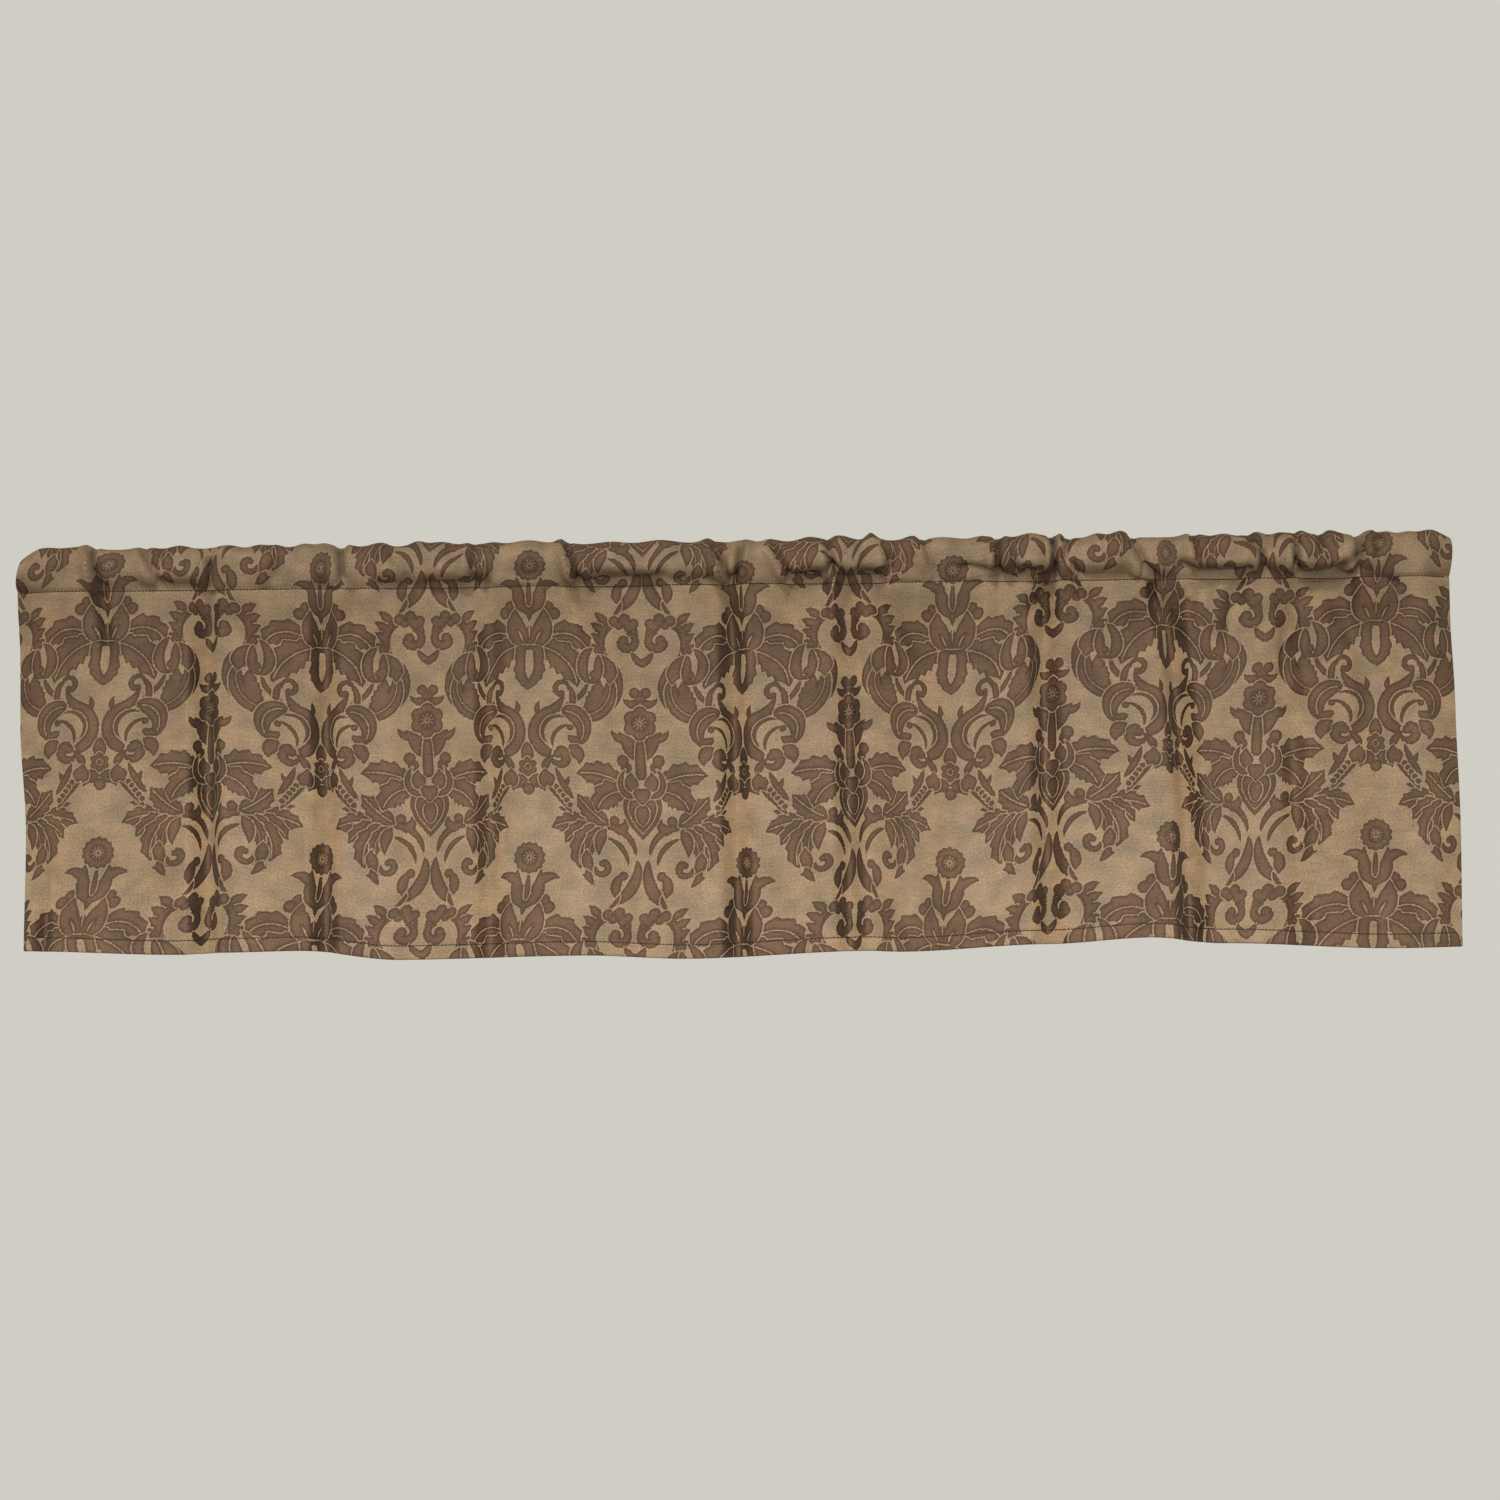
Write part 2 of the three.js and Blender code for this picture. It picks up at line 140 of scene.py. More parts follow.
# Where the pocket's face sags over its stitches, from not at all to fully
Sag = namedtuple("Sag", "x amount")
SAGS = [Sag(*row) for row in [
    (-627, 0), (-575, 0), (-556, 0.3), (-530, 0.2), (-500, 0.5), (-470, 0.5), (-455, 0.1), (-320, 0.1),
    (-303, 0.6), (-288, 0.5), (-276, 0.2), (-262, 0.9), (-222, 0.9), (-208, 0), (-155, 0), (-136, 1),
    (-76, 1), (-60, 0.4), (-30, 0.3), (-16, 0.8), (-4, 0.7), (8, 0.1), (36, 0.1), (46, 1), (76, 1),
    (84, 0.2), (92, 1), (124, 1), (134, 0), (200, 0), (216, 0.4), (228, 1), (274, 1), (281, 0.1),
    (294, 0.3), (312, 0.6), (340, 0.4), (354, 0.1), (390, 0.2), (402, 0.9), (436, 0.9), (446, 0.3),
    (470, 0.5), (482, 0.2), (490, 1), (528, 1), (542, 0), (620, 0),
]]
SAG_DEPTH = 8.5
SAG_AT, SAG_HALF = 0.38, 0.16  # height of its bulge, and the bulge's half size
TUCK_AT, TUCK_HALF, TUCK_SHARE = 0.05, 0.08, 0.6  # and how it turns in under the bulge
SEAM_FORWARD = 9.0  # where it doesn't sag, the stitches lie this far forward
SEAM_FALL = 30.0  # how fast that dies out below them
END_FADE = 30.0  # how far in from the sides it reaches its full amount
# Scales of the creases' depths and half widths
CREASE_DEPTH = 2.4
CREASE_HALF = 1.15
CREASE_RIDGE = 0.6  # height of the fold beside a crease, as a share of its depth
RIDGE_ASIDE, RIDGE_HALF = 1.8, 1.5  # where that fold lies and its half width, in half widths of the crease
RIDGE_FADE = 0.5  # share of the pocket's height over which it dies out to the top edge
CREASE_DRAW = 0.15  # how far the cloth is drawn together at a crease
DRAW_HALF, DRAW_FADE = 2.2, 0.3  # reach of that in half widths, and how slowly it dies out at a crease's ends
FULL_CREASE = 4.0  # a crease this deep is pressed quite shut and takes the full painted shade
CREASE_PAINTED_SHADE = 0.6  # share of its colour that the cloth loses in a shut crease, as painted shade

# Soft dents and swellings of the hanging panel: centre, half sizes, lean of the upper end and depth
Dent = namedtuple("Dent", "x z half_x half_z lean depth")
PANEL_DENTS = [Dent(*row) for row in [
    (-552, -62, 5, 34, -4, 4.0), (-458, -58, 5, 26, 2, 3.5), (-428, -88, 16, 30, -6, 2.5),
    (-340, -66, 7, 26, 6, 3.0), (-318, -100, 12, 30, 10, 2.5), (-190, -62, 16, 18, -8, 3.0),
    (-133, -64, 7, 26, -10, 3.5), (-70, -140, 22, 16, 14, 2.0), (-8, -58, 6, 20, -4, 3.0),
    (46, -58, 6, 20, -8, 3.0), (140, -88, 9, 36, -14, 4.0), (190, -215, 30, 40, -10, 2.5),
    (270, -60, 6, 24, 2, 4.0), (345, -80, 20, 26, 10, 3.0), (362, -60, 5, 22, -4, 4.0),
    (428, -66, 6, 26, 4, 3.0), (474, -92, 6, 50, 14, 3.0), (528, -76, 12, 36, -10, 4.0),
    (575, -120, 16, 40, 8, -2.0), (540, -300, 34, 30, 0, 3.0), (20, -310, 26, 30, 0, 2.5),
    (-560, -300, 22, 36, 6, 2.0), (394, -52, 6, 12, 22, 3.5), (500, -44, 14, 5, 0, 3.0),
    (568, -41, 4, 8, -4.5, 2.5), (361, -46, 4, 14, -4, 4.5), (-24, -55, 13, 7, 0, 2.5),
    (48, -42, 3.5, 7, -2, 2.5), (88, -54, 18, 6, 0, 2.5), (126, -60, 7, 10, 0, 2.0),
    (262, -49, 5, 12, 10, 3.0), (258, -42, 5, 6, 8, -2.0), (297, -45, 3.5, 10, -3, 2.5),
    (-604, -330, 5, 40, 3, 5.0), (-617, -330, 5, 40, 2, -2.5),
]]
DENT_DEPTH = 2.0
DENTS_START = 4.0  # below the stitches, where a dent has its full depth

# The weave isn't quite straight on the hung cloth: at each place across, how far it lies aside at the
# stitches and at the foot, and how far up
Grain = namedtuple("Grain", "at aside foot_aside slip")
GRAIN = [Grain(*row) for row in [
    (-587, 3, 23, -27), (-486, 2, 14, -20), (-382, -4, 4, -35), (-278, -5, 0, -33), (-184, 1, 8, -35),
    (-84, 3, 9, -38), (12, 5, 5, -41), (114, 6, -4, -29), (199, 3, 16, -43), (300, 6, 17, -17),
    (402, 3, 9, -25), (491, 3, 27, -22), (592, 0, 12, -22),
]]

# Ends of the cloth: the side edges curl back, and the top corners droop past the rod
CURL_LEFT, CURL_RIGHT, CURL_WIDTH, CURL_BELOW = 8.0, 6.0, 26.0, 60.0
DROOP_LEFT, DROOP_RIGHT, DROOP_WIDTH = 9.0, 4.0, 20.0

# Section of the pocket, by the angle from the stitches up the front, over the top and down the back
CUSP_POWER = 0.5  # how sharply it closes at the stitches
CUSP_PEAK = 0.86  # its greatest half depth before it is scaled to the pocket's
FRONT_END, FRONT_FADE = 1.15 * np.pi, 0.6  # creases and sags die out here, over this angle
BACK_START = 1.4 * np.pi  # from here on the back layer moves behind the panel
FINE_END = 1.1 * np.pi  # the finer rows of the sheet end here

# How finely the sheet is divided
FRONT_COLUMNS = 740
FOOT_ROWS = [5.0, 9.0, 10.8, 11.8, 12.8, 15.0]  # up from the foot
PANEL_ROWS = 12
NECK = 70.0  # the puckered part of the panel, below the stitches
NECK_ROWS = 9
STITCH_ROWS = [5.0, 3.6, 2.2, 1.2, 0.4]  # down from the stitches
POCKET_FRONT_ROWS = 21
POCKET_BACK_ROWS = 5
EVEN_COLUMNS = 24  # the pattern's height is evened out over these to each side
# A folded edge: distance in from the fold, and how far it has turned to the back
EDGE_TURN = [(1.0, 1.0), (0.7, 1.0), (0.35, 1.0), (0.1, 1.0)]
FOLD_TURN = [(0.3, 0.88), (0.0, 0.5), (0.3, 0.12), (1.6, 0.0)]
# The pocket's lip: distance below the stitches, and layers behind the face
LIP_TURN = [(0.4, 2.0), (LIP - 0.3, 2.0), (LIP, 1.5), (LIP - 0.3, 1.0), (0.2, 1.0)]
LIP_SHARE = 0.2  # how much of the side hems' turn the lip takes part in
HEM_STEP = 8.0  # over which the hem steps up on a side hem
# Small steps that the cloth's normals are taken over: share of the width, mm down, angle round the pocket
SHARE_STEP, DOWN_STEP, ANGLE_STEP = 0.0006, -0.4, 0.012


def clamp(value):
    return np.clip(value, 0.0, 1.0)


def ease(value):
    value = clamp(value)
    return value * value * (3 - 2 * value)


def bell(value):
    return np.exp(-value * value)


def along(places, values, at):
    """Reads a table at every point of at, easing from row to row. Its rows may differ from point to point."""
    found = np.where(at <= places[0], values[0], values[-1]) + np.zeros_like(at)
    for here, there, low, high in zip(places, places[1:], values, values[1:]):
        share = (at - here) / (there - here)
        found = np.where((at > here) & (at <= there), low + (high - low) * ease(share), found)
    return found


def read(table, place, value, at):
    """Reads one column of a table by another."""
    return along([getattr(row, place) for row in table], [getattr(row, value) for row in table], at)


def side(z, name):
    return read(SIDES, "z", name, z)


def across(share, z):
    """X at a share of the width, from 0 at the left side to 1 at the right."""
    left = side(z, "left")
    return left + (side(z, "right") - left) * share


def panel_length(share):
    """From the stitches to the foot of the hem."""
    x = across(share, np.full_like(share, STITCH_Z))
    return PANEL + read(HEM_LINE, "x", "lower", x)


def fold_depth(x, z):
    fallen = clamp((STITCH_Z - z) / PANEL)
    opened = 1 - (1 - fallen) ** 2
    places = [row.x + (row.foot_x - row.x) * opened for row in FOLDS]
    depths = [row.depth + (row.foot_depth - row.depth) * opened for row in FOLDS]
    start = FOLD_START + (1 - FOLD_START) * ease((STITCH_Z - z) / FOLD_OPENS)
    return along(places, depths, x) * start


def edge_curl(x, z):
    left = CURL_LEFT * clamp(1 - (x - side(z, "left")) / CURL_WIDTH) ** 2
    right = CURL_RIGHT * clamp(1 - (side(z, "right") - x) / CURL_WIDTH) ** 2
    return (left + right) * ease((STITCH_Z - z) / CURL_BELOW)


def puckers(x, z):
    lift = np.zeros_like(x)
    for row in GATHERS:
        if row.reach >= 1:
            fall = np.exp((z - STITCH_Z) / PUCKER_FALL)
            lift += PUCKER_SHARE * row.rise * bell((x - row.x - row.lean) / row.half) * fall
    return lift


def dents(x, z):
    depth = np.zeros_like(x)
    for row in PANEL_DENTS:
        up = (z - row.z) / row.half_z
        depth += row.depth * bell((x - row.x - row.lean * up) / row.half_x) * bell(up)
    return DENT_DEPTH * depth * ease((STITCH_Z - z) / DENTS_START)


def sag_amount(x):
    return read(SAGS, "x", "amount", x)


def ends(x):
    """Falls to 0 at the sides of the cloth."""
    return ease((x - SIDES[-1].left) / END_FADE) * ease((SIDES[-1].right - x) / END_FADE)


def drawn_in(share, down):
    """The cloth dips along its rows of stitches."""
    at_pocket = bell((down - POCKET_SEAM) / SEAM_HALF)
    at_hem = bell((panel_length(share) - down - HEM_SEAM) / SEAM_HALF)
    return SEAM_DEPTH * (at_pocket + at_hem)


def panel_point(share, down):
    """Middle of the cloth on the hanging panel, down mm below the stitches."""
    z = STITCH_Z - down
    x = across(share, z)
    y = fold_depth(x, z) + edge_curl(x, z) - puckers(x, z) + dents(x, z) + drawn_in(share, down)
    y -= SEAM_FORWARD * (1 - sag_amount(x)) * bell(down / SEAM_FALL) * ends(x)
    return np.stack([x, y, z], axis=-1)


def gather_lift(x, height):
    lift = np.zeros_like(x)
    for row in GATHERS:
        fade = ease((row.reach - (1 - height)) / GATHER_FADE)
        lift += row.rise * bell((x - row.x - row.lean * (1 - height)) / row.half) * fade
    return lift


def crease_places(row, x, height):
    """Where points lie beside a crease, how near its floor, from 0 to 1, and how upright the crease is."""
    run = np.array([row.to_x - row.x, (row.to_height - row.height) * POCKET_HEIGHT])
    off = np.stack([x - row.x, (height - row.height) * POCKET_HEIGHT], axis=-1)
    aside = off - clamp(off @ run / (run @ run))[..., None] * run
    near = bell(np.linalg.norm(aside, axis=-1) / (CREASE_HALF * row.half))
    return aside, near, abs(run[1]) / np.linalg.norm(run)


def creases(x, height):
    """Depth of the creases, and how far across the cloth is drawn towards them."""
    depth = np.zeros_like(x)
    drawn = np.zeros_like(x)
    for row in POCKET_CREASES:
        aside, near, steep = crease_places(row, x, height)
        right = aside[..., 0]
        wide = CREASE_HALF * row.half
        beside = bell(np.hypot(right + RIDGE_ASIDE * wide, aside[..., 1]) / (RIDGE_HALF * wide))
        ridge = CREASE_RIDGE * steep * ease((1 - height) / RIDGE_FADE)
        depth += CREASE_DEPTH * row.depth * (near - ridge * beside)
        if row.depth > 0:
            drawn -= CREASE_DRAW * steep * right * bell(right / (DRAW_HALF * row.half)) * near ** DRAW_FADE
    return depth, drawn


def pocket_place(share, angle):
    """X and height of a point round the pocket. Height is 0 at the stitches and 1 at the top edge."""
    height = (1 - np.cos(angle)) / 2
    return across(share, STITCH_Z * (1 - height)), height


def on_front(angle):
    """1 on the pocket's face, falling to 0 behind its top."""
    return ease((FRONT_END - angle) / FRONT_FADE)


def crease_shade_mask(share, angle):
    """How deep in a crease each point round the pocket lies, from 0 to 1: the mask of the painted shade in
    creases.
    """
    x, height = pocket_place(share, angle)
    core = np.zeros_like(x)
    for row in POCKET_CREASES:
        near = crease_places(row, x, height)[1]
        core = np.maximum(core, clamp(row.depth / FULL_CREASE) * near ** 2)
    return core * on_front(angle)


def sag(x, height):
    """The pocket's face hangs forward over its stitches and turns in under there."""
    bulge = bell((height - SAG_AT) / SAG_HALF) - TUCK_SHARE * bell((height - TUCK_AT) / TUCK_HALF)
    return SAG_DEPTH * sag_amount(x) * bulge


def pocket_point(share, angle):
    """Middle of the cloth round the pocket."""
    x, height = pocket_place(share, angle)
    level = np.zeros_like(x)
    left_end = clamp(1 - (x - side(level, "left")) / DROOP_WIDTH) ** 2
    right_end = clamp(1 - (side(level, "right") - x) / DROOP_WIDTH) ** 2
    top = -DROOP_LEFT * left_end - DROOP_RIGHT * right_end
    middle = (STITCH_Z + top) / 2
    wide = POCKET_DEPTH / 2 / CUSP_PEAK
    out = -wide * np.sin(angle) * np.sin(angle / 2) ** CUSP_POWER
    up = -(middle - STITCH_Z) * np.cos(angle)
    reach = np.hypot(out, up)
    front = on_front(angle)
    depth, drawn = creases(x, height)
    grow = (reach + gather_lift(x, height) + (sag(x, height) - depth) * front) / reach
    # the foot of the pocket follows the folds of the panel
    sewn = panel_point(share, np.zeros_like(share))[..., 1] * (1 - height) ** 3
    behind = 2 * LAYER * ease((angle - BACK_START) / (2 * np.pi - BACK_START))
    return np.stack([x + drawn * front, out * grow + sewn + behind, middle + up * grow], axis=-1)


def with_normal(point, share, place, step):
    """Points of the cloth and the outward normals there. place runs along the cloth; step says which way."""
    wide = point(clamp(share + SHARE_STEP), place) - point(clamp(share - SHARE_STEP), place)
    long = point(share, place + step) - point(share, place - step)
    normal = np.cross(wide, long)
    normal /= np.linalg.norm(normal, axis=-1, keepdims=True)
    return point(share, place), normal


def panel_frame(share, down):
    return with_normal(panel_point, share, down, DOWN_STEP)


def pocket_frame(share, angle):
    return with_normal(pocket_point, share, angle, ANGLE_STEP)


def folded_edge(width):
    """Distances in from a fold and turns to the back, from the raw edge behind to the face in front."""
    return [(width * inset, turn) for inset, turn in EDGE_TURN] + FOLD_TURN


def sheet_columns():
    """Share of the width and turn to the back for each column, with both side hems."""
    turned = folded_edge(SIDE_HEM)
    left = [(inset / HUNG_WIDTH, turn) for inset, turn in turned]
    right = [(1 - inset / HUNG_WIDTH, turn) for inset, turn in reversed(turned)]
    start, end = left[-1][0], right[0][0]
    middle = [(share, 0.0) for share in np.linspace(start, end, FRONT_COLUMNS)[1:-1]]
    shares, turns = np.array(left + middle + right).T
    return shares, turns


def sheet_rows():
    """Kind, place and turn to the back of each row, from the hem's raw edge to the pocket's lip."""
    rows = [("hem", inset, turn) for inset, turn in folded_edge(HEM) + [(up, 0.0) for up in FOOT_ROWS]]
    rows += [("panel", share, 0.0) for share in np.linspace(0, 1, PANEL_ROWS + 1)[1:-1]]
    downs = list(np.linspace(NECK, STITCH_ROWS[0], NECK_ROWS)[:-1]) + STITCH_ROWS
    rows += [("neck", down, 0.0) for down in downs]
    angles = np.concatenate([np.linspace(0, FINE_END, POCKET_FRONT_ROWS),
                             np.linspace(FINE_END, 2 * np.pi, POCKET_BACK_ROWS)[1:]])
    rows += [("pocket", angle, 0.0) for angle in angles[1:-1]]
    return rows + [("lip", down, turn) for down, turn in LIP_TURN]


def middle_surface():
    """The middle of the folded sheet in mm, row by row."""
    shares, turns = sheet_columns()
    length = panel_length(shares)
    left, right = across(np.array([0.0, 1.0]), np.full(2, STITCH_Z))
    from_side = np.minimum(shares, 1 - shares) * (right - left)
    hemmed = 1 - ease((from_side - SIDE_HEM) / HEM_STEP)
    surface = []
    for kind, place, turn in sheet_rows():
        at = np.full_like(shares, place)
        behind = turns
        if kind == "hem":
            at = length - place
            # at the sides the hem lies behind both layers of the side hem
            behind = turns + turn * (hemmed * (3 - 2 * turns) + (1 - hemmed))
        elif kind == "panel":
            bottom = length - FOOT_ROWS[-1]
            at = bottom + (NECK - bottom) * place
        elif kind == "lip":
            behind = turn + LIP_SHARE * turns
        points, normals = (pocket_frame if kind == "pocket" else panel_frame)(shares, at)
        surface.append(points - normals * (LAYER * behind)[:, None])
    return np.array(surface)


def smooth_across(values):
    """Evens out each row of values over EVEN_COLUMNS to each side."""
    weights = bell(np.linspace(-1.5, 1.5, 2 * EVEN_COLUMNS + 1))
    padded = np.pad(values, ((0, 0), (EVEN_COLUMNS, EVEN_COLUMNS)), mode="edge")
    return np.array([np.convolve(row, weights / weights.sum(), mode="valid") for row in padded])


def flat_places(surface):
    """Where each point lies on the woven pattern: across from the middle of the cloth, and down."""
    shares, turns = sheet_columns()
    rows = sheet_rows()
    first, last = np.flatnonzero(turns <= 0.5)[[0, -1]]
    step = np.linalg.norm(np.diff(surface, axis=1), axis=2)
    run = np.concatenate([np.zeros((len(rows), 1)), np.cumsum(step, axis=1)], axis=1)
    run -= run[:, [first]]
    u = (run / run[:, [last]] - 0.5) * FLAT_WIDTH
    u[:, :first] = -FLAT_WIDTH / 2 - SIDE_HEM * np.linspace(1, 0.05, first)
    u[:, last + 1:] = FLAT_WIDTH / 2 + SIDE_HEM * np.linspace(0.05, 1, len(shares) - last - 1)
    # the yarns run straight up from the neck, whatever the gathers do
    neck = [index for index, row in enumerate(rows) if row[0] == "neck"][0]
    u[neck:] = u[neck]

    rise = np.linalg.norm(np.diff(surface, axis=0), axis=2)
    up = smooth_across(np.concatenate([np.zeros((1, len(shares))), np.cumsum(rise, axis=0)], axis=0))
    stitches = [index for index, row in enumerate(rows) if row[0] == "pocket"][0] - 1
    fallen = clamp((up[stitches] - up) / PANEL)
    aside, foot_aside, slip = [read(GRAIN, "at", name, u) for name in ("aside", "foot_aside", "slip")]
    across_weave = u + aside + (foot_aside - aside) * fallen
    down_weave = POCKET_HEIGHT + up[stitches] - up + slip
    return across_weave, down_weave


def sheet_normals(surface):
    wide = np.gradient(surface, axis=1)
    long = np.gradient(surface, axis=0)
    normal = np.cross(wide, long)
    # at the very corner both folds turn the same way and there is no normal
    return normal / np.maximum(np.linalg.norm(normal, axis=2, keepdims=True), 1e-6)


def aside_for_painted_shade_and_light(normals):
    """How far the hanging panel faces to the side at each point, 0 round the pocket; it sets the painted
    shade on the figure and the painted light on the ground.
    """
    hanging = np.array([row[0] in ("panel", "neck", "hem") for row in sheet_rows()])
    return normals[..., 0] ** 2 * hanging[:, None]


def pressed_in():
    """How deep in a crease each point of the sheet lies, the mask of the painted shade in creases."""
    shares = sheet_columns()[0]
    return np.array([crease_shade_mask(shares, np.full_like(shares, place)) * (kind == "pocket")
                     for kind, place, _ in sheet_rows()])


def grid_faces(rows, columns, offset, turned):
    index = np.arange(rows * columns).reshape(rows, columns) + offset
    corners = [index[:-1, :-1], index[:-1, 1:], index[1:, 1:], index[1:, :-1]]
    faces = np.stack(corners, axis=-1).reshape(-1, 4)
    return faces[:, ::-1] if turned else faces


def rim_faces(rows, columns):
    """Joins the face and the reverse of the sheet round its raw edges."""
    index = np.arange(rows * columns).reshape(rows, columns)
    loop = np.concatenate([index[0, :-1], index[:-1, -1], index[-1, :0:-1], index[:0:-1, 0]])
    after = np.roll(loop, -1)
    behind = rows * columns
    return np.stack([after, loop, loop + behind, after + behind], axis=-1)


def cloth_mesh():
    surface = middle_surface()
    u, down = flat_places(surface)
    normals = sheet_normals(surface)
    rows, columns = surface.shape[:2]
    face = surface + normals * CLOTH / 2
    reverse = surface - normals * CLOTH / 2
    points = np.concatenate([face.reshape(-1, 3), reverse.reshape(-1, 3)]) * MM
    faces_front = grid_faces(rows, columns, 0, False)
    faces_back = grid_faces(rows, columns, rows * columns, True)
    faces_rim = rim_faces(rows, columns)
    faces = np.concatenate([faces_front, faces_back, faces_rim])

    mesh = bpy.data.meshes.new("valance_cloth_sheet")
    mesh.from_pydata(points.tolist(), [], faces.tolist())
    flat = np.concatenate([np.stack([u, -down], axis=-1).reshape(-1, 2)] * 2) * MM
    corner = np.empty(len(mesh.loops), dtype=np.int32)
    mesh.loops.foreach_get("vertex_index", corner)
    layer = mesh.uv_layers.new(name="flat")
    layer.data.foreach_set("uv", flat[corner].astype(np.float32).ravel())
    # sideways holds where the panel turns aside, for the painted shade on the figure and the painted light on
    # the ground
    for name, values in (("sideways", aside_for_painted_shade_and_light(normals)), ("crease_shade_mask", pressed_in())):
        attribute = mesh.attributes.new(name, "FLOAT", "POINT")
        attribute.data.foreach_set("value", np.tile(values.ravel(), 2).astype(np.float32))
    band = (down.ravel()[faces % (rows * columns)].mean(axis=1) % REPEAT_HEIGHT) // BAND_HEIGHT
    is_back = np.arange(len(faces)) // len(faces_front) == 1
    slots = (band + BANDS * is_back).astype(np.int32)
    mesh.polygons.foreach_set("material_index", slots)
    mesh.polygons.foreach_set("use_smooth", np.ones(len(faces), dtype=bool))
    mesh.update()
    return mesh


# Stitches
STITCH_PITCH = 3.2
STITCH_LENGTH = 2.8
THREAD = 0.5  # radius
THREAD_SIDES = 5
STITCH_PROUD = [-0.25, 0.14, 0.18, 0.14, -0.25]  # height of a stitch above the cloth along its length
SEAM_ENDS = (0.004, 0.996)  # shares of the width
INNER_ENDS = (0.022, 0.978)  # between the side hems


def stitch_tubes(place, first, last):
    """One row of stitches. place(share) gives points on the cloth and normals; first and last are shares."""
    count = int(HUNG_WIDTH * (last - first) / STITCH_PITCH)
    starts = first + (last - first) * np.arange(count) / count
    steps = np.linspace(0, STITCH_LENGTH / HUNG_WIDTH, len(STITCH_PROUD))
    shares = starts[:, None] + steps
    points, normals = [made.reshape(count, len(steps), 3) for made in place(shares.ravel())]
    centres = points + normals * np.array(STITCH_PROUD)[None, :, None]
    forward = np.gradient(centres, axis=1)
    forward /= np.linalg.norm(forward, axis=2, keepdims=True)
    sideways = np.cross(forward, normals)
    turns = np.arange(THREAD_SIDES) * 2 * np.pi / THREAD_SIDES
    ring = np.cos(turns)[:, None] * normals[:, :, None] + np.sin(turns)[:, None] * sideways[:, :, None]
    points = (centres[:, :, None] + THREAD * ring).reshape(-1, 3)

    base = np.arange(count)[:, None, None] * len(steps) * THREAD_SIDES
    here = base + np.arange(len(steps) - 1)[None, :, None] * THREAD_SIDES
    there = here + THREAD_SIDES
    around = np.arange(THREAD_SIDES)[None, None, :]
    after = (around + 1) % THREAD_SIDES
    faces = np.stack([here + around, here + after, there + after, there + around], -1)
    return points, faces.reshape(-1, 4)


def pocket_seam(share):
    return np.full_like(share, POCKET_SEAM)


def hem_seam(share):
    return panel_length(share) - HEM_SEAM


def placed(name, data):
    """A new object in the scene."""
    made = bpy.data.objects.new(name, data)
    bpy.context.collection.objects.link(made)
    return made


def stitch_piece(name, down_at, layers, back_ends, thread):
    """A row of stitches on the face of the cloth, and one on the back of the layers sewn to it."""
    def on_face(share):
        points, normals = panel_frame(share, down_at(share))
        return points + normals * CLOTH / 2, normals

    def on_back(share):
        points, normals = panel_frame(share, down_at(share))
        return points - normals * (layers * LAYER + CLOTH / 2), -normals

    points, faces = [], []
    for place, limits in ((on_face, SEAM_ENDS), (on_back, back_ends)):
        more, quads = stitch_tubes(place, *limits)
        faces.append(quads + sum(len(row) for row in points))
        points.append(more)
    mesh = bpy.data.meshes.new(name)
    mesh.from_pydata((np.concatenate(points) * MM).tolist(), [], np.concatenate(faces).tolist())
    mesh.polygons.foreach_set("use_smooth", np.ones(len(mesh.polygons), dtype=bool))
    mesh.update()
    mesh.materials.append(thread)
    return placed(name, mesh)


# The damask, charted on half a repeat. x is across from the column's own axis, d is down the cloth.
REPEAT_WIDTH = 197.0
REPEAT_HEIGHT = 256.0
HALF_REPEAT = REPEAT_WIDTH / 2
COLUMN_A_AT = -89.5  # on the flat cloth, from its middle
# Middle of the repeat that each column is charted on, down the cloth
COLUMN_A_MIDDLE = 205.0
COLUMN_B_MIDDLE = 86.0
OUTLINE = 1.35  # ground left showing round a motif that lies on another
VEIN_STOP = 3.5  # a vein ends this far from the ends of its leaf
LEAST_BOW = 0.01  # a straight leaf is bowed this little
BULB_INSET = 0.6  # how far a curl's bulb lies inside its arc, as a share of the bulb's radius
# Light eye of a flower: half widths of its ring and rays, and the rays' reach as a share of its radius
EYE_RING, EYE_RAY, EYE_REACH = 0.5, 0.45, 0.42
# The repeat is split into bands down the cloth, each with a material that draws only the motifs near it
BANDS = 6
BAND_HEIGHT = REPEAT_HEIGHT / BANDS
BAND_MARGIN = 8.0

# Half width of a leaf along its run, and whether the outline is toothed
PROFILES = {
    "leaf": ([(0, 0), (0.12, 0.45), (0.38, 1), (0.7, 0.68), (1, 0)], False),
    "drop": ([(0, 0.25), (0.12, 0.75), (0.38, 1), (0.68, 0.8), (0.9, 0.42), (1, 0)], False),
    "band": ([(0, 0), (0.15, 0.55), (0.5, 0.9), (0.85, 1), (1, 0.7)], False),
    "stroke": ([(0, 0), (0.25, 0.8), (0.55, 1), (0.8, 0.75), (1, 0)], False),
    "tulip": ([(0, 0.18), (0.15, 0.55), (0.42, 1), (0.62, 0.9), (0.8, 0.5), (1, 0)], False),
    "shield": ([(0, 0.55), (0.1, 0.9), (0.28, 1), (0.55, 0.82), (0.8, 0.42), (1, 0)], False),
    "barrel": ([(0, 0.5), (0.06, 0.85), (0.3, 0.92), (0.36, 0.84), (0.56, 1), (0.62, 0.86), (0.74, 0.84),
                (0.8, 0.62), (0.88, 0.5), (1, 0)], True),
    "toothed": ([(0, 0.05), (0.12, 0.5), (0.24, 0.72), (0.28, 0.62), (0.42, 1), (0.47, 0.8), (0.62, 0.95),
                 (0.66, 0.68), (0.8, 0.72), (0.84, 0.45), (1, 0)], True),
}

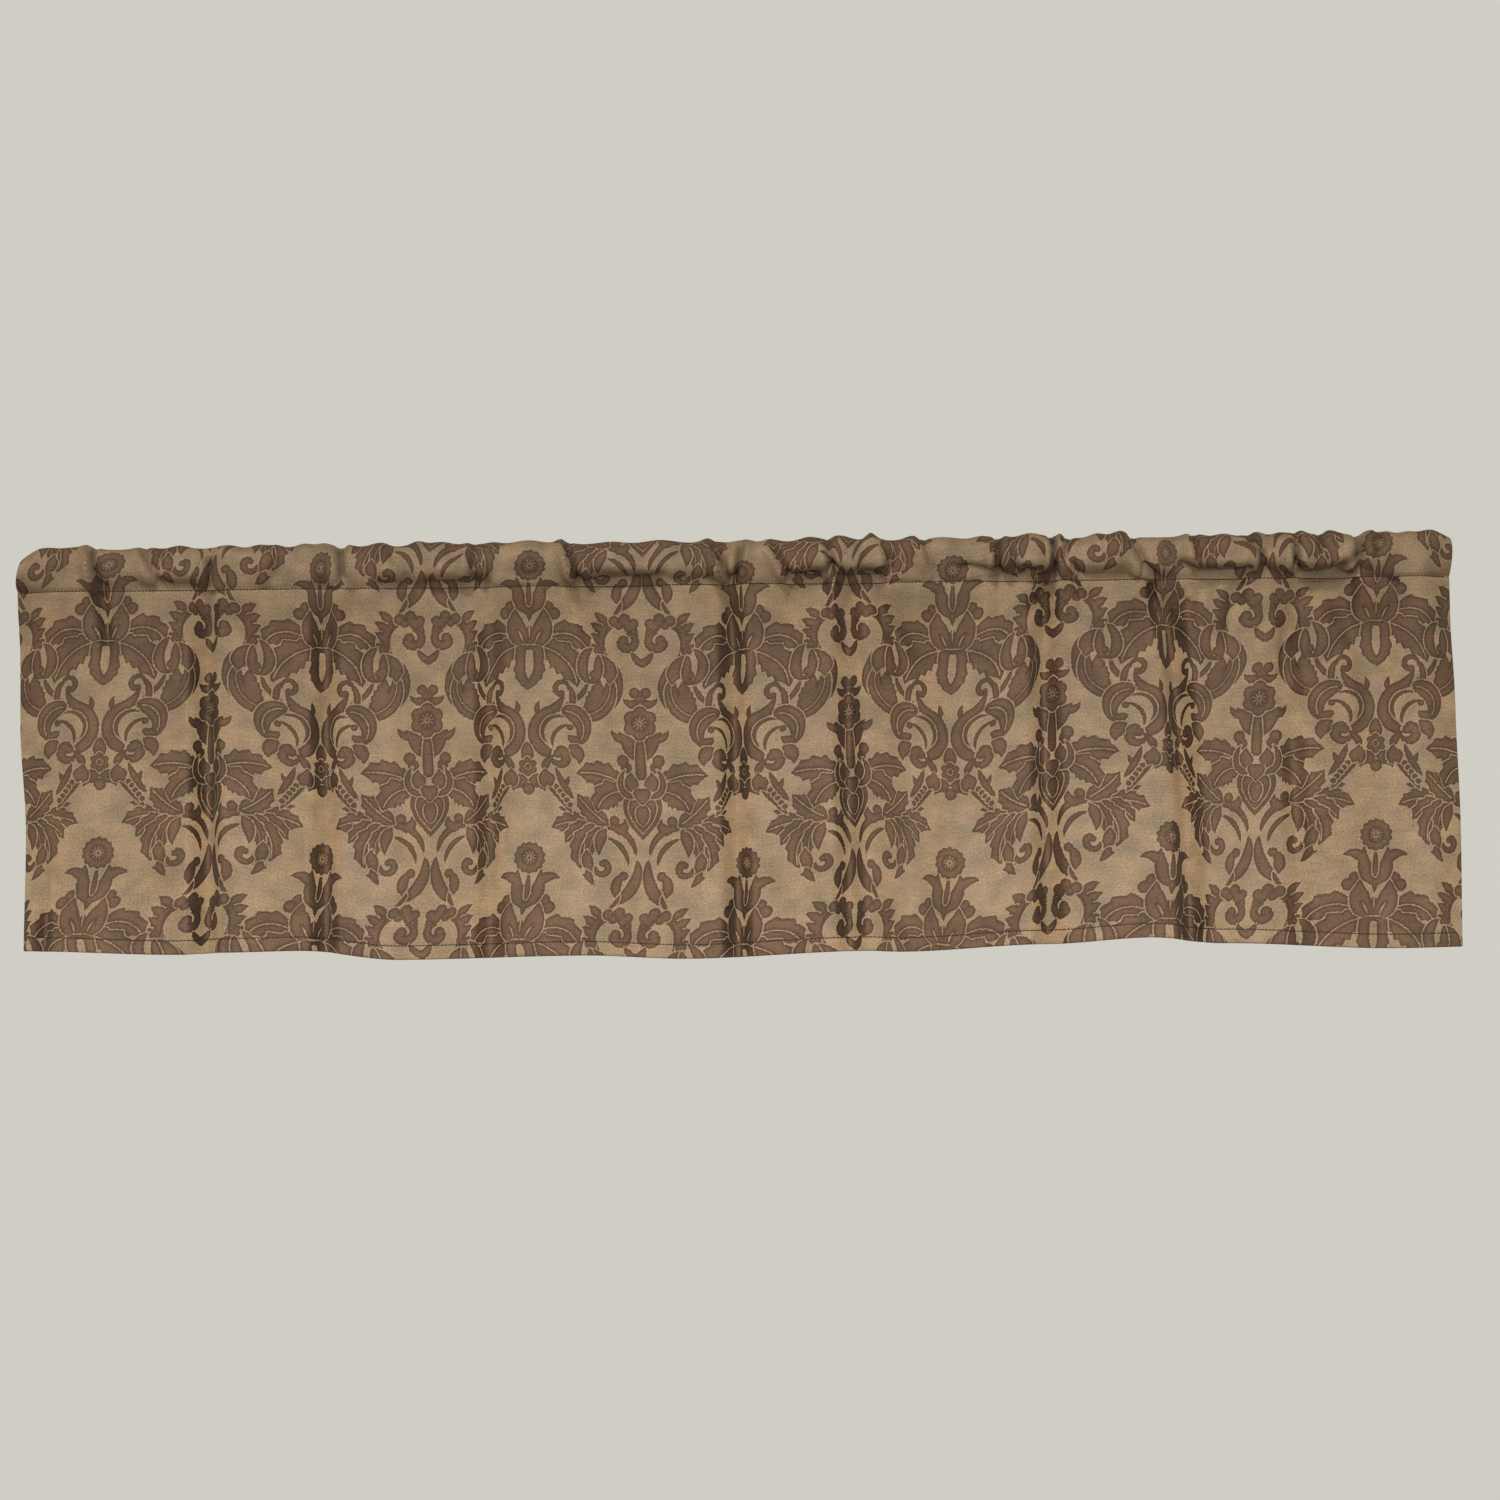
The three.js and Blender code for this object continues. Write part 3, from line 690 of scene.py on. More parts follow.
# A leaf runs from its base to its tip along an arc; bow is the arc's height as a share of its chord, and
# rib is the half width of a light vein. Mode over leaves a light outline round a motif, join adds it to what
# lies below and hole weaves it in the ground.
Leaf = namedtuple("Leaf", "profile x d tip_x tip_d bow width rib mode", defaults=(0.0, "over"))
# A curl runs round a centre from one angle through a turn, and may end in a round bulb.
Curl = namedtuple("Curl", "profile x d radius start turn width bulb mode", defaults=(0.0, "over"))
Flower = namedtuple("Flower", "d radius petals notch core rays mode", defaults=("over",))
Disc = namedtuple("Disc", "x d radius mode", defaults=("over",))

# Motifs of the two columns, in the order they are laid
COLUMN_A = [
    # stems and acanthus sprays
    Leaf("band", 6, 235, 32, 210, 0.2, 3.2),
    Leaf("stroke", 12.5, 244, 32, 220, 0.17, 2.2),
    Leaf("tulip", 26, 211, 16.5, 203, 0.45, 4.6, 0.0, "join"),
    Disc(25.0, 205.0, 4.4, "join"),
    Leaf("leaf", 60, 204, 75, 205, 0.1, 3.6),
    Leaf("leaf", 60, 203, 73.5, 195, 0.1, 3.0, 0.0, "join"),
    Leaf("toothed", 44, 209, 80, 213, 0.1, 9.4, 0.6),
    Leaf("toothed", 40, 211, 68, 226, 0.16, 8.0, 0.55),
    Leaf("toothed", 37, 210, 54, 248, 0.2, 10.4, 0.6),
    Leaf("toothed", 33, 211, 45, 239, 0.2, 6.2, 0.4),
    Leaf("leaf", 32, 212, 38, 236, 0.12, 4.8),
    Leaf("toothed", 30, 209, 57, 183, -0.05, 9.6, 0.6),
    Leaf("leaf", 49, 231, 41, 254, 0.12, 4.8),
    Curl("band", 36, 246.5, 5.4, 20, -285, 3.2, 2.8),
    Leaf("leaf", 49.5, 248, 41, 262, 0.06, 3.2),
    Leaf("leaf", 46, 255, 53, 253, 0.0, 1.8, 0.0, "join"),
    # leaves of the stem above the scrolls
    Leaf("tulip", 20, 272, 15.5, 250, -0.2, 4.6),
    Disc(16.5, 252.5, 4.0, "join"),
    Leaf("drop", 21, 276, 5.0, 238, 0.16, 5.4),
    Leaf("stroke", 26, 282, 18, 269, 0.1, 1.8),
    # twin scrolls with feathered trunks and scalloped crowns
    Curl("stroke", 19.5, 304, 17.2, 165, -215, 4.6),
    Leaf("leaf", 32, 293, 42.7, 279.5, 0.14, 4.2),
    Leaf("leaf", 34.5, 301, 46, 288.5, 0.14, 4.4),
    Leaf("leaf", 35.5, 310, 46, 297.5, 0.14, 4.2),
    Leaf("leaf", 36, 320, 46.5, 307, 0.14, 4.0),
    Curl("stroke", 19.5, 304, 17.2, 60, -95, 3.8, 0.0, "join"),
    Disc(24.5, 286.5, 4.8),
    Disc(15.0, 284.5, 5.0, "join"),
    Disc(7.0, 288.5, 4.4, "join"),
    Disc(11.0, 291.0, 5.0, "join"),
    Disc(20.0, 290.0, 4.0, "join"),
    Curl("band", 12.3, 303.5, 6.6, 75, 285, 4.3, 4.6, "join"),
    # crescent under the scrolls
    Leaf("drop", -1.5, 324.5, 9.0, 313.5, -0.1, 3.3),
    Disc(0.0, 323.0, 3.9, "join"),
    # bow
    Leaf("leaf", 0, 100.5, 15, 97.5, -0.24, 3.6),
    Disc(4.8, 93.0, 4.6, "join"),
    Disc(1.5, 98.0, 3.6, "join"),
    # six-petalled flower, its stem and leaves
    Leaf("tulip", 2, 154, 19, 127, 0.06, 6.6),
    Leaf("leaf", 11, 133, 25, 125.5, -0.22, 3.6, 0.0, "join"),
    Leaf("band", 0, 128, 0, 169, 0.0, 4.4),
    Flower(119.5, 15.2, 6, 3.04, 1.62, 9),
    Disc(15.6, 152.5, 5.2),
    Disc(12.8, 158.5, 4.8, "join"),
    # palmette
    Leaf("toothed", 15, 174, 57, 165, 0.1, 12.4, 0.65),
    Leaf("toothed", 12, 180, 40, 198, 0.22, 12.8, 0.65),
    Leaf("shield", 0, 181, 0, 221, 0.0, 16.5),
    Leaf("shield", 0, 185, 0, 215, 0.0, 11.6),
    Leaf("drop", 0, 191, 0, 209, 0.0, 5.6),
    Leaf("leaf", 6, 185, 13.5, 160, -0.3, 3.6),
    Leaf("tulip", 4, 180, 8.6, 162, -0.14, 6.0),
    Leaf("shield", 0, 176.5, 0, 191, 0.0, 7.4),
]
COLUMN_B = [
    # iris under a tulip and a daisy
    Leaf("toothed", 12, 51, 51, 60, 0.31, 12.0, 0.65),
    Leaf("toothed", 5, 54, 43, 90, 0.17, 14.5, 0.65),
    Disc(16.6, 19.6, 4.8),
    Disc(21.6, 25.8, 5.4, "join"),
    Leaf("tulip", 3.5, 57, 12, 20.5, -0.1, 8.6),
    Leaf("drop", 0, 60, 0, 36, 0.0, 5.5, 0.0, "join"),
    Leaf("stroke", 5, 52.5, 10.5, 41, 0.06, 0.8, 0.0, "hole"),
    Leaf("stroke", 0, 48, 0, 30, 0.0, 0.9, 0.0, "hole"),
    Leaf("leaf", 1.0, 27, 10.0, -8, -0.1, 6.2),
    Leaf("leaf", 9, 8, 27.0, 0.5, 0.26, 4.6, 0.0, "join"),
    Leaf("leaf", 0, 12, 0, 33, 0.0, 3.6, 0.0, "join"),
    Leaf("drop", 0, 19, 0, -5, 0.0, 2.6),
    Flower(-17.2, 13.9, 14, 1.6, 1.62, 11),
    Leaf("barrel", 0, 54, 0, 93, 0.0, 13.6),
    Leaf("barrel", 0, 57.5, 0, 84, 0.0, 3.6, 0.0, "hole"),
    # big crescent between the columns, with its feathers
    Curl("stroke", 53.0, 87.0, 26.6, 70, -170, 3.9),
    Leaf("stroke", 33, 104, 52, 84, -0.16, 2.4),
    Leaf("drop", 45, 114, 69, 78, -0.3, 7.6, 0.5),
    Leaf("toothed", 49, 113, 62, 82, -0.1, 8.0, 0.0, "join"),
    Leaf("leaf", 71, 86, 56.5, 60.5, -0.16, 7.0),
    Leaf("drop", 60.5, 82, 59.5, 60, 0.0, 4.2),
    Leaf("stroke", 55.0, 54.5, 54.5, 86, -0.28, 4.7),
    Curl("band", 55.5, 79.5, 4.2, 230, 190, 3.4, 3.8, "join"),
    # hook above the lower scroll
    Leaf("stroke", 37, 113, 35.5, 88, -0.12, 2.8),
    Curl("band", 29.4, 91, 5.6, -25, 295, 2.4, 2.6, "join"),
    # lower scroll
    Curl("band", 26, 129, 20.0, 64, 190, 5.2),
    Leaf("leaf", 8, 116, 32, 95, -0.14, 4.4, 0.0, "join"),
    Leaf("leaf", 9, 114, 10.5, 102, 0.1, 2.4, 0.0, "join"),
    Curl("stroke", 27, 129, 13.6, 62, 165, 1.7),
    Leaf("drop", 30, 111.5, 43, 140, 0.4, 7.8, 0.6),
    Leaf("drop", 47.5, 137.5, 35.5, 132, 0.1, 4.2, 0.0, "join"),
    Leaf("stroke", 38, 123, 22.5, 143, -0.26, 1.7),
    Disc(37.4, 125.0, 2.8, "join"),
    Curl("band", 27.6, 151.4, 6.0, 190, 275, 4.6, 4.0),
    Leaf("leaf", 13, 164, 24, 149, 0.1, 3.4, 0.0, "join"),
    Leaf("tulip", 36, 141, 44.5, 157, 0.2, 5.8),
    # small flower with its bells
    Leaf("drop", 0, 155, 0, 138, 0.0, 5.8),
    Leaf("leaf", 0, 172, 14, 181, 0.25, 6.0),
    Disc(0.0, 179.0, 5.2, "join"),
    Leaf("tulip", 20, 178, 15, 161, 0.1, 7.0),
    Flower(159.8, 8.6, 6, 2.24, 2.7, 1),
    # beaded bands
    Leaf("stroke", 16.5, 177, 37, 200, 0.05, 2.5),
    Leaf("stroke", 24, 160, 39, 188, -0.05, 2.9),
    Leaf("leaf", 31, 178, 35.5, 167.5, 0.0, 2.2, 0.0, "join"),
] + [Disc(24.0 + 2.8 * bead, 177 + 3.9 * bead, 2.2) for bead in range(5)]
MOTIFS = {"A": COLUMN_A, "B": COLUMN_B}


def feed(tree, socket, value):
    """Sets an input of a node, or links it to an output."""
    if isinstance(value, bpy.types.NodeSocket):
        tree.links.new(value, socket)
    else:
        socket.default_value = value


def node(tree, kind, values=(), **settings):
    """Adds a node and feeds its first inputs. None leaves an input as it is."""
    made = tree.nodes.new(kind)
    for name, value in settings.items():
        setattr(made, name, value)
    for socket, value in zip(made.inputs, values):
        if value is not None:
            feed(tree, socket, value)
    return made


def dress(tree, made, looks):
    """Feeds inputs of a node by name."""
    for name, value in looks.items():
        feed(tree, made.inputs[name], value)


def sums(tree, operation, *values):
    return node(tree, "ShaderNodeMath", values, operation=operation).outputs[0]


def vectors(tree, operation, *values):
    return node(tree, "ShaderNodeVectorMath", values, operation=operation).outputs


def dot(tree, vector, way):
    return vectors(tree, "DOT_PRODUCT", vector, way)["Value"]


def parts(tree, vector):
    """The first two parts of a vector. Separate XYZ would hold the third in the renderer's memory too."""
    return dot(tree, vector, (1.0, 0.0, 0.0)), dot(tree, vector, (0.0, 1.0, 0.0))


def ranged(tree, value, *limits, **settings):
    """Maps a value from one range to another."""
    return node(tree, "ShaderNodeMapRange", [value, *limits], **settings).outputs[0]


def new_group(name, inputs):
    """A node group with these (name, kind) inputs and one number out."""
    tree = bpy.data.node_groups.new(name, "ShaderNodeTree")
    for label, kind in inputs:
        tree.interface.new_socket(name=label, in_out="INPUT", socket_type=f"NodeSocket{kind}")
    tree.interface.new_socket(name="Field", in_out="OUTPUT", socket_type="NodeSocketFloat")
    entry = node(tree, "NodeGroupInput")
    return tree, {label: entry.outputs[label] for label, _ in inputs}


def close_group(tree, field):
    node(tree, "NodeGroupOutput", [field])
    return tree


def profile_curve(tree, profile, share):
    points, toothed = PROFILES[profile]
    made = node(tree, "ShaderNodeFloatCurve", [1.0, share])
    curve = made.mapping.curves[0]
    curve.points[0].location = points[0]
    curve.points[-1].location = points[-1]
    for place in points[1:-1]:
        curve.points.new(*place)
    for point in curve.points:
        point.handle_type = "VECTOR" if toothed else "AUTO_CLAMPED"
    made.mapping.update()
    return made.outputs[0]


ARC_INPUTS = [("Point", "Vector"), ("Centre", "Vector"), ("Middle", "Vector"), ("Onward", "Vector"),
              ("Radius", "Float"), ("Rate", "Float"), ("Half length", "Float"), ("Width", "Float")]


def arc_group(profile, ribbed):
    """Distance, in mm and negative inside, to a motif along an arc with this profile.

    Angles are from the middle of the arc, Rate is the share of the arc in a radian, and Half length and Width
    are given as negative numbers.
    """
    inputs = ARC_INPUTS + ([("Rib", "Float")] if ribbed else [])
    tree, given = new_group(f"damask_{profile}{'_ribbed' if ribbed else ''}", inputs)
    off = vectors(tree, "SUBTRACT", given["Point"], given["Centre"])[0]
    angle = sums(tree, "ARCTAN2", dot(tree, off, given["Onward"]), dot(tree, off, given["Middle"]))
    share = sums(tree, "MULTIPLY_ADD", angle, given["Rate"], 0.5)
    radius = vectors(tree, "LENGTH", off)["Value"]
    aside = sums(tree, "ABSOLUTE", sums(tree, "SUBTRACT", radius, given["Radius"]))
    outside = sums(tree, "MULTIPLY_ADD", profile_curve(tree, profile, share), given["Width"], aside)
    beyond = sums(tree, "MULTIPLY_ADD", sums(tree, "ABSOLUTE", angle), given["Radius"], given["Half length"])
    field = sums(tree, "MAXIMUM", outside, beyond)
    if ribbed:
        stop = sums(tree, "SUBTRACT", -VEIN_STOP, beyond)
        vein = sums(tree, "MINIMUM", sums(tree, "SUBTRACT", given["Rib"], aside), stop)
        field = sums(tree, "MAXIMUM", field, vein)
    return close_group(tree, field)


def flower_group():
    """Distance to a flower with scalloped petals and a light eye of rays."""
    names = ["Radius", "Half petals", "Notch", "Core", "Half rays"]
    inputs = [("Point", "Vector"), ("Centre", "Vector")] + [(name, "Float") for name in names]
    tree, given = new_group("damask_flower", inputs)
    local = vectors(tree, "SUBTRACT", given["Point"], given["Centre"])[0]
    angle = sums(tree, "ARCTAN2", *parts(tree, local))
    radius = vectors(tree, "LENGTH", local)["Value"]
    petal = sums(tree, "ABSOLUTE", sums(tree, "COSINE", sums(tree, "MULTIPLY", angle, given["Half petals"])))
    notch = sums(tree, "MULTIPLY", sums(tree, "SUBTRACT", 1.0, petal), given["Notch"])
    field = sums(tree, "ADD", sums(tree, "SUBTRACT", radius, given["Radius"]), notch)
    from_core = sums(tree, "SUBTRACT", radius, given["Core"])
    eye = sums(tree, "SUBTRACT", EYE_RING, sums(tree, "ABSOLUTE", from_core))
    ray = sums(tree, "ABSOLUTE", sums(tree, "SINE", sums(tree, "MULTIPLY", angle, given["Half rays"])))
    ray = sums(tree, "DIVIDE", sums(tree, "MULTIPLY", ray, radius), given["Half rays"])
    ray = sums(tree, "MINIMUM", sums(tree, "SUBTRACT", EYE_RAY, ray), from_core)
    reach = sums(tree, "MULTIPLY", given["Radius"], EYE_REACH)
    ray = sums(tree, "MINIMUM", ray, sums(tree, "SUBTRACT", reach, radius))
    return close_group(tree, sums(tree, "MAXIMUM", field, sums(tree, "MAXIMUM", eye, ray)))


def arc_through(leaf):
    """Centre, radius, start angle and turn of the arc from a leaf's base to its tip."""
    base = Vector((leaf.x, -leaf.d))
    tip = Vector((leaf.tip_x, -leaf.tip_d))
    run = tip - base
    chord = run.length
    bow = math.copysign(max(abs(leaf.bow), LEAST_BOW), leaf.bow)
    rise = abs(bow) * chord
    radius = (chord * chord / 4 + rise * rise) / (2 * rise)
    left = Vector((-run.y, run.x)) / chord
    sense = math.copysign(1.0, bow)
    centre = (base + tip) / 2 - left * sense * (radius - rise)
    start = math.atan2(base.y - centre.y, base.x - centre.x)
    return centre, radius, start, -sense * 4 * math.atan(2 * rise / chord)


class Damask:
    """Adds the motifs to a node tree one after another, each on top of those before it."""

    groups = {}

    def __init__(self, tree, points):
        self.tree = tree
        self.points = points
        self.field = None

    def group(self, name, make, values):
        """A motif drawn by a node group, which is made when it is first needed."""
        if name not in self.groups:
            self.groups[name] = make()
        return node(self.tree, "ShaderNodeGroup", values, node_tree=self.groups[name]).outputs[0]

    def lay(self, field, mode):
        tree = self.tree
        if self.field is None:
            self.field = field
            return
        if mode == "hole":
            self.field = sums(tree, "MAXIMUM", self.field, sums(tree, "MULTIPLY", field, -1.0))
            return
        below = self.field
        if mode == "over":
            below = sums(tree, "MAXIMUM", below, sums(tree, "SUBTRACT", OUTLINE, field))
        self.field = sums(tree, "MINIMUM", below, field)

    def arc(self, point, row, centre, radius, start, turn, rib=0.0):
        halfway = start + turn / 2
        sense = math.copysign(1.0, turn)
        middle = (math.cos(halfway), math.sin(halfway), 0)
        onward = (-sense * middle[1], sense * middle[0], 0)
        long = radius * abs(turn)
        values = [point, (*centre, 0), middle, onward, radius, 1 / abs(turn), -long / 2, -row.width]
        values += [rib] if rib else []
        return self.group((row.profile, rib > 0), lambda: arc_group(row.profile, rib > 0), values)

    def round(self, point, centre, radius):
        away = vectors(self.tree, "DISTANCE", point, (*centre, 0))["Value"]
        return sums(self.tree, "SUBTRACT", away, radius)

    def leaf(self, point, row):
        return self.arc(point, row, *arc_through(row), row.rib)

    def curl(self, point, row):
        centre = Vector((row.x, -row.d))
        start, turn = math.radians(row.start), math.radians(row.turn)
        field = self.arc(point, row, centre, row.radius, start, turn)
        if row.bulb:
            inward = row.radius - BULB_INSET * row.bulb
            end = centre + inward * Vector((math.cos(start + turn), math.sin(start + turn)))
            field = sums(self.tree, "MINIMUM", field, self.round(point, end, row.bulb))
        return field

    def flower(self, point, row):
        values = [point, (0, -row.d, 0), row.radius, row.petals / 2, row.notch, row.core, row.rays / 2]
        return self.group("flower", flower_group, values)

    def disc(self, point, row):
        return self.round(point, Vector((row.x, -row.d)), row.radius)

    def draw(self, motifs):
        drawers = {Leaf: self.leaf, Curl: self.curl, Flower: self.flower, Disc: self.disc}
        for column, row in motifs:
            self.lay(drawers[type(row)](self.points[column], row), row.mode)
        return self.field


def linear(red, green, blue):
    """A colour read as 0 to 255 on screen, as the renderer wants it."""
    shares = [part / 255 for part in (red, green, blue)]
    curved = [share / 12.92 if share <= 0.04045 else ((share + 0.055) / 1.055) ** 2.4 for share in shares]
    return (*curved, 1.0)


def reach(row):
    """How far up and down the cloth a motif goes."""
    if isinstance(row, Leaf):
        beside = row.width + abs(row.bow) * math.dist((row.x, row.d), (row.tip_x, row.tip_d))
        return min(row.d, row.tip_d) - beside, max(row.d, row.tip_d) + beside
    beside = row.radius + (row.width + row.bulb if isinstance(row, Curl) else 0)
    return row.d - beside, row.d + beside


def motifs_near(band):
    """Column and row of the motifs that reach into a band of the repeat."""
    low = band * BAND_HEIGHT - BAND_MARGIN
    high = (band + 1) * BAND_HEIGHT + BAND_MARGIN
    turns = (-REPEAT_HEIGHT, 0, REPEAT_HEIGHT)
    return [(column, row) for column, rows in MOTIFS.items() for row in rows
            if any(reach(row)[0] + turn < high and reach(row)[1] + turn > low for turn in turns)]


# Colours across the edge of a motif, from inside it to the open ground, in mm
Weave = namedtuple("Weave", "field colour")
WEAVE = [
    Weave(-2.8, (113, 87, 68)),
    Weave(-0.9, (93, 69, 51)),
    Weave(-0.1, (90, 66, 48)),
    Weave(0.5, (162, 138, 109)),
    Weave(1.4, (153, 129, 101)),
]
WEAVE_FROM, WEAVE_TO = -3.0, 2.0
EDGE = (-0.1, 0.5)  # where the figure ends and the ground begins
FIGURE_ROUGH, GROUND_ROUGH = 0.68, 0.5
# Painted shade on the figure and painted light on the ground where the cloth turns quite aside: how much
# brighter each gets
FIGURE_ASIDE_PAINTED_SHADE = -0.7
GROUND_ASIDE_PAINTED_LIGHT = 0.7
UNEVEN_DYE = 0.16

# Noises of the weave: scale per mm, detail, and roughness where it isn't the usual
NOISES = {"waver": (0.55, 1.0), "specks": (0.62, 3.0, 0.7), "slubs": (1.0, 2.0), "patches": (0.045, 2.0),
          "ribs": (1.4, 1.0)}
NOISE_RANGE = (0.3, 0.7)  # where most of a noise lies
WAVER = (1.1, 1.6)  # how far woven edges waver, across and down
SLUB_STRETCH = (0.05, 0.6, 0)
SPECK_SHARE = 0.8  # of the yarns' shade; slubs make the rest
YARN_SHADE = (0.66, 1.34)
PATCH_SHADE = (0.86, 1.14)
RIB_STRENGTH, RIB_HEIGHT = 0.25, 0.3 * MM


def damask_group(band):
    """Distance from the figure in one band of the weave, from the flat place of a point on the cloth."""
    tree, given = new_group(f"damask_band_{band + 1}", [("Flat", "Vector")])
    across_cloth, up_cloth = parts(tree, given["Flat"])
    x = sums(tree, "SUBTRACT", across_cloth, COLUMN_A_AT)
    x = sums(tree, "ABSOLUTE", sums(tree, "WRAP", x, HALF_REPEAT, -HALF_REPEAT))

    def column(distance, middle):
        up = sums(tree, "WRAP", up_cloth, REPEAT_HEIGHT / 2 - middle, -REPEAT_HEIGHT / 2 - middle)
        return node(tree, "ShaderNodeCombineXYZ", [distance, up]).outputs[0]

    points = {
        "A": column(x, COLUMN_A_MIDDLE),
        "B": column(sums(tree, "SUBTRACT", HALF_REPEAT, x), COLUMN_B_MIDDLE),
    }
    return close_group(tree, Damask(tree, points).draw(motifs_near(band)))


def weave_ramp(tree, field, turned):
    """Colour of the weave from the distance to the figure. On the reverse, ground and figure trade places."""
    made = node(tree, "ShaderNodeValToRGB", [ranged(tree, field, WEAVE_FROM, WEAVE_TO, 0.0, 1.0)])
    colours = [row.colour for row in WEAVE]
    if turned:
        colours.reverse()
    ramp = made.color_ramp.elements
    while len(ramp) < len(WEAVE):
        ramp.new(0.5)
    for element, row, colour in zip(ramp, WEAVE, colours):
        element.position = (row.field - WEAVE_FROM) / (WEAVE_TO - WEAVE_FROM)
        element.color = linear(*colour)
    return made.outputs[0]


def new_material(name):
    material = bpy.data.materials.new(name)
    material.use_nodes = True
    return material, material.node_tree, material.node_tree.nodes["Principled BSDF"]


def noise(tree, place, name):
    scale, detail, *rough = NOISES[name]
    values = [place, None, scale, detail, *rough]
    return node(tree, "ShaderNodeTexNoise", values, noise_dimensions="2D").outputs


def point_value(tree, name):
    return node(tree, "ShaderNodeAttribute", attribute_name=name).outputs["Fac"]


def jacquard(name, damask, turned):
    """Satin ground with a duller figure woven in, and painted shade and light where the cloth turns aside or
    creases.
    """
    material, tree, shader = new_material(name)
    flat = node(tree, "ShaderNodeUVMap", uv_map="flat").outputs[0]
    place = vectors(tree, "MULTIPLY", flat, (1 / MM, 1 / MM, 0))[0]

    # woven edges waver by a yarn or so
    waver = sums(tree, "SUBTRACT", noise(tree, place, "waver")["Fac"], 0.5)
    shift = node(tree, "ShaderNodeCombineXYZ", [sums(tree, "MULTIPLY", waver, far) for far in WAVER])
    woven = vectors(tree, "ADD", place, shift.outputs[0])[0]
    field = node(tree, "ShaderNodeGroup", [woven], node_tree=damask).outputs[0]

    # yarns: specks of the weave, and slubs that run across the cloth
    specks = sums(tree, "MULTIPLY", noise(tree, place, "specks")["Fac"], SPECK_SHARE)
    stretched = vectors(tree, "MULTIPLY", place, SLUB_STRETCH)[0]
    slubs = sums(tree, "MULTIPLY", noise(tree, stretched, "slubs")["Fac"], 1 - SPECK_SHARE)
    shade = ranged(tree, sums(tree, "ADD", specks, slubs), *NOISE_RANGE, *YARN_SHADE)
    # the lustre and the dye aren't quite even
    patches = noise(tree, place, "patches")
    shade = sums(tree, "MULTIPLY", shade, ranged(tree, patches["Fac"], *NOISE_RANGE, *PATCH_SHADE))
    even = (1 - UNEVEN_DYE / 2,) * 3
    dye = vectors(tree, "MULTIPLY_ADD", patches["Color"], (UNEVEN_DYE,) * 3, even)[0]

    # painted shade darkens the figure and painted light keeps the ground bright where the panel turns aside
    sideways = point_value(tree, "sideways")
    figure = sums(tree, "MULTIPLY_ADD", sideways, FIGURE_ASIDE_PAINTED_SHADE, 1.0)
    ground = sums(tree, "MULTIPLY_ADD", sideways, GROUND_ASIDE_PAINTED_LIGHT, 1.0)
    shade = sums(tree, "MULTIPLY", shade, ranged(tree, field, *EDGE, figure, ground))
    # painted shade in the pocket's creases
    crease_painted_shade = sums(tree, "MULTIPLY_ADD", point_value(tree, "crease_shade_mask"), -CREASE_PAINTED_SHADE, 1.0)
    shade = sums(tree, "MULTIPLY", shade, crease_painted_shade)

    dyed = vectors(tree, "MULTIPLY", weave_ramp(tree, field, turned), dye)[0]
    rough = (GROUND_ROUGH, FIGURE_ROUGH) if turned else (FIGURE_ROUGH, GROUND_ROUGH)
    bump = node(tree, "ShaderNodeBump", [RIB_STRENGTH, RIB_HEIGHT])
    dress(tree, bump, {"Height": noise(tree, place, "ribs")["Fac"]})
    dress(tree, shader, {
        "Base Color": vectors(tree, "SCALE", dyed, None, None, shade)[0],
        "Roughness": ranged(tree, field, *EDGE, *rough),
        "Normal": bump.outputs[0],
        "Specular IOR Level": 0.3,
        "Sheen Weight": 0.08,
        "Sheen Roughness": 0.4,
    })
    return material


THREAD_DARK, THREAD_LIGHT = (40, 27, 20), (66, 48, 36)
THREAD_TWIST = 900.0  # per metre


def thread_material():
    material, tree, shader = new_material("sewing_thread")
    place = node(tree, "ShaderNodeTexCoord").outputs["Object"]
    twist = node(tree, "ShaderNodeTexNoise", [place, None, THREAD_TWIST, 1.0]).outputs["Fac"]
    colour = node(tree, "ShaderNodeMix", [twist], data_type="RGBA")
    colour.inputs[6].default_value = linear(*THREAD_DARK)
    colour.inputs[7].default_value = linear(*THREAD_LIGHT)
    dress(tree, shader, {"Base Color": colour.outputs[2], "Roughness": 0.6})
    return material


def make_valance():
    damasks = [damask_group(band) for band in range(BANDS)]
    thread = thread_material()
    mesh = cloth_mesh()
    for name, turned in (("face", False), ("reverse", True)):
        for band, damask in enumerate(damasks):
            mesh.materials.append(jacquard(f"jacquard_{name}_{band + 1}", damask, turned))
    cloth = placed("valance_sheet", mesh)
    pocket = stitch_piece("pocket_stitches", pocket_seam, 2, SEAM_ENDS, thread)
    hem = stitch_piece("hem_stitches", hem_seam, 1, INNER_ENDS, thread)
    for piece in (cloth, pocket, hem):
        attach(piece, "root")
    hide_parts("valance_cloth")


# Photograph: how the camera stood to the valance
CAMERA_AZIMUTH = 1.5
CAMERA_ELEVATION = -4.0
CAMERA_DISTANCE = 2.5
CAMERA_ROLL = -0.0083
CAMERA_LENS = 69.2
LOOK_AT = Vector((0.0108, 0.0, -0.1812))

# Studio
FLOOR_Z = -2.0
FLOOR_HALF = 5.0
FLOOR_COLOUR = (226, 224, 219)
FLOOR_GLOW = 0.6
SKY_COLOUR = (208, 205, 197)
SKY_PALE_TO, SKY_DIM_FROM, SKY_DIM = 0.35, 0.5, 0.14  # sines of the elevation, and the dim sky's strength
LAMP_AWAY = 9.0
LAMP_COLOUR = (1.0, 0.97, 0.92)
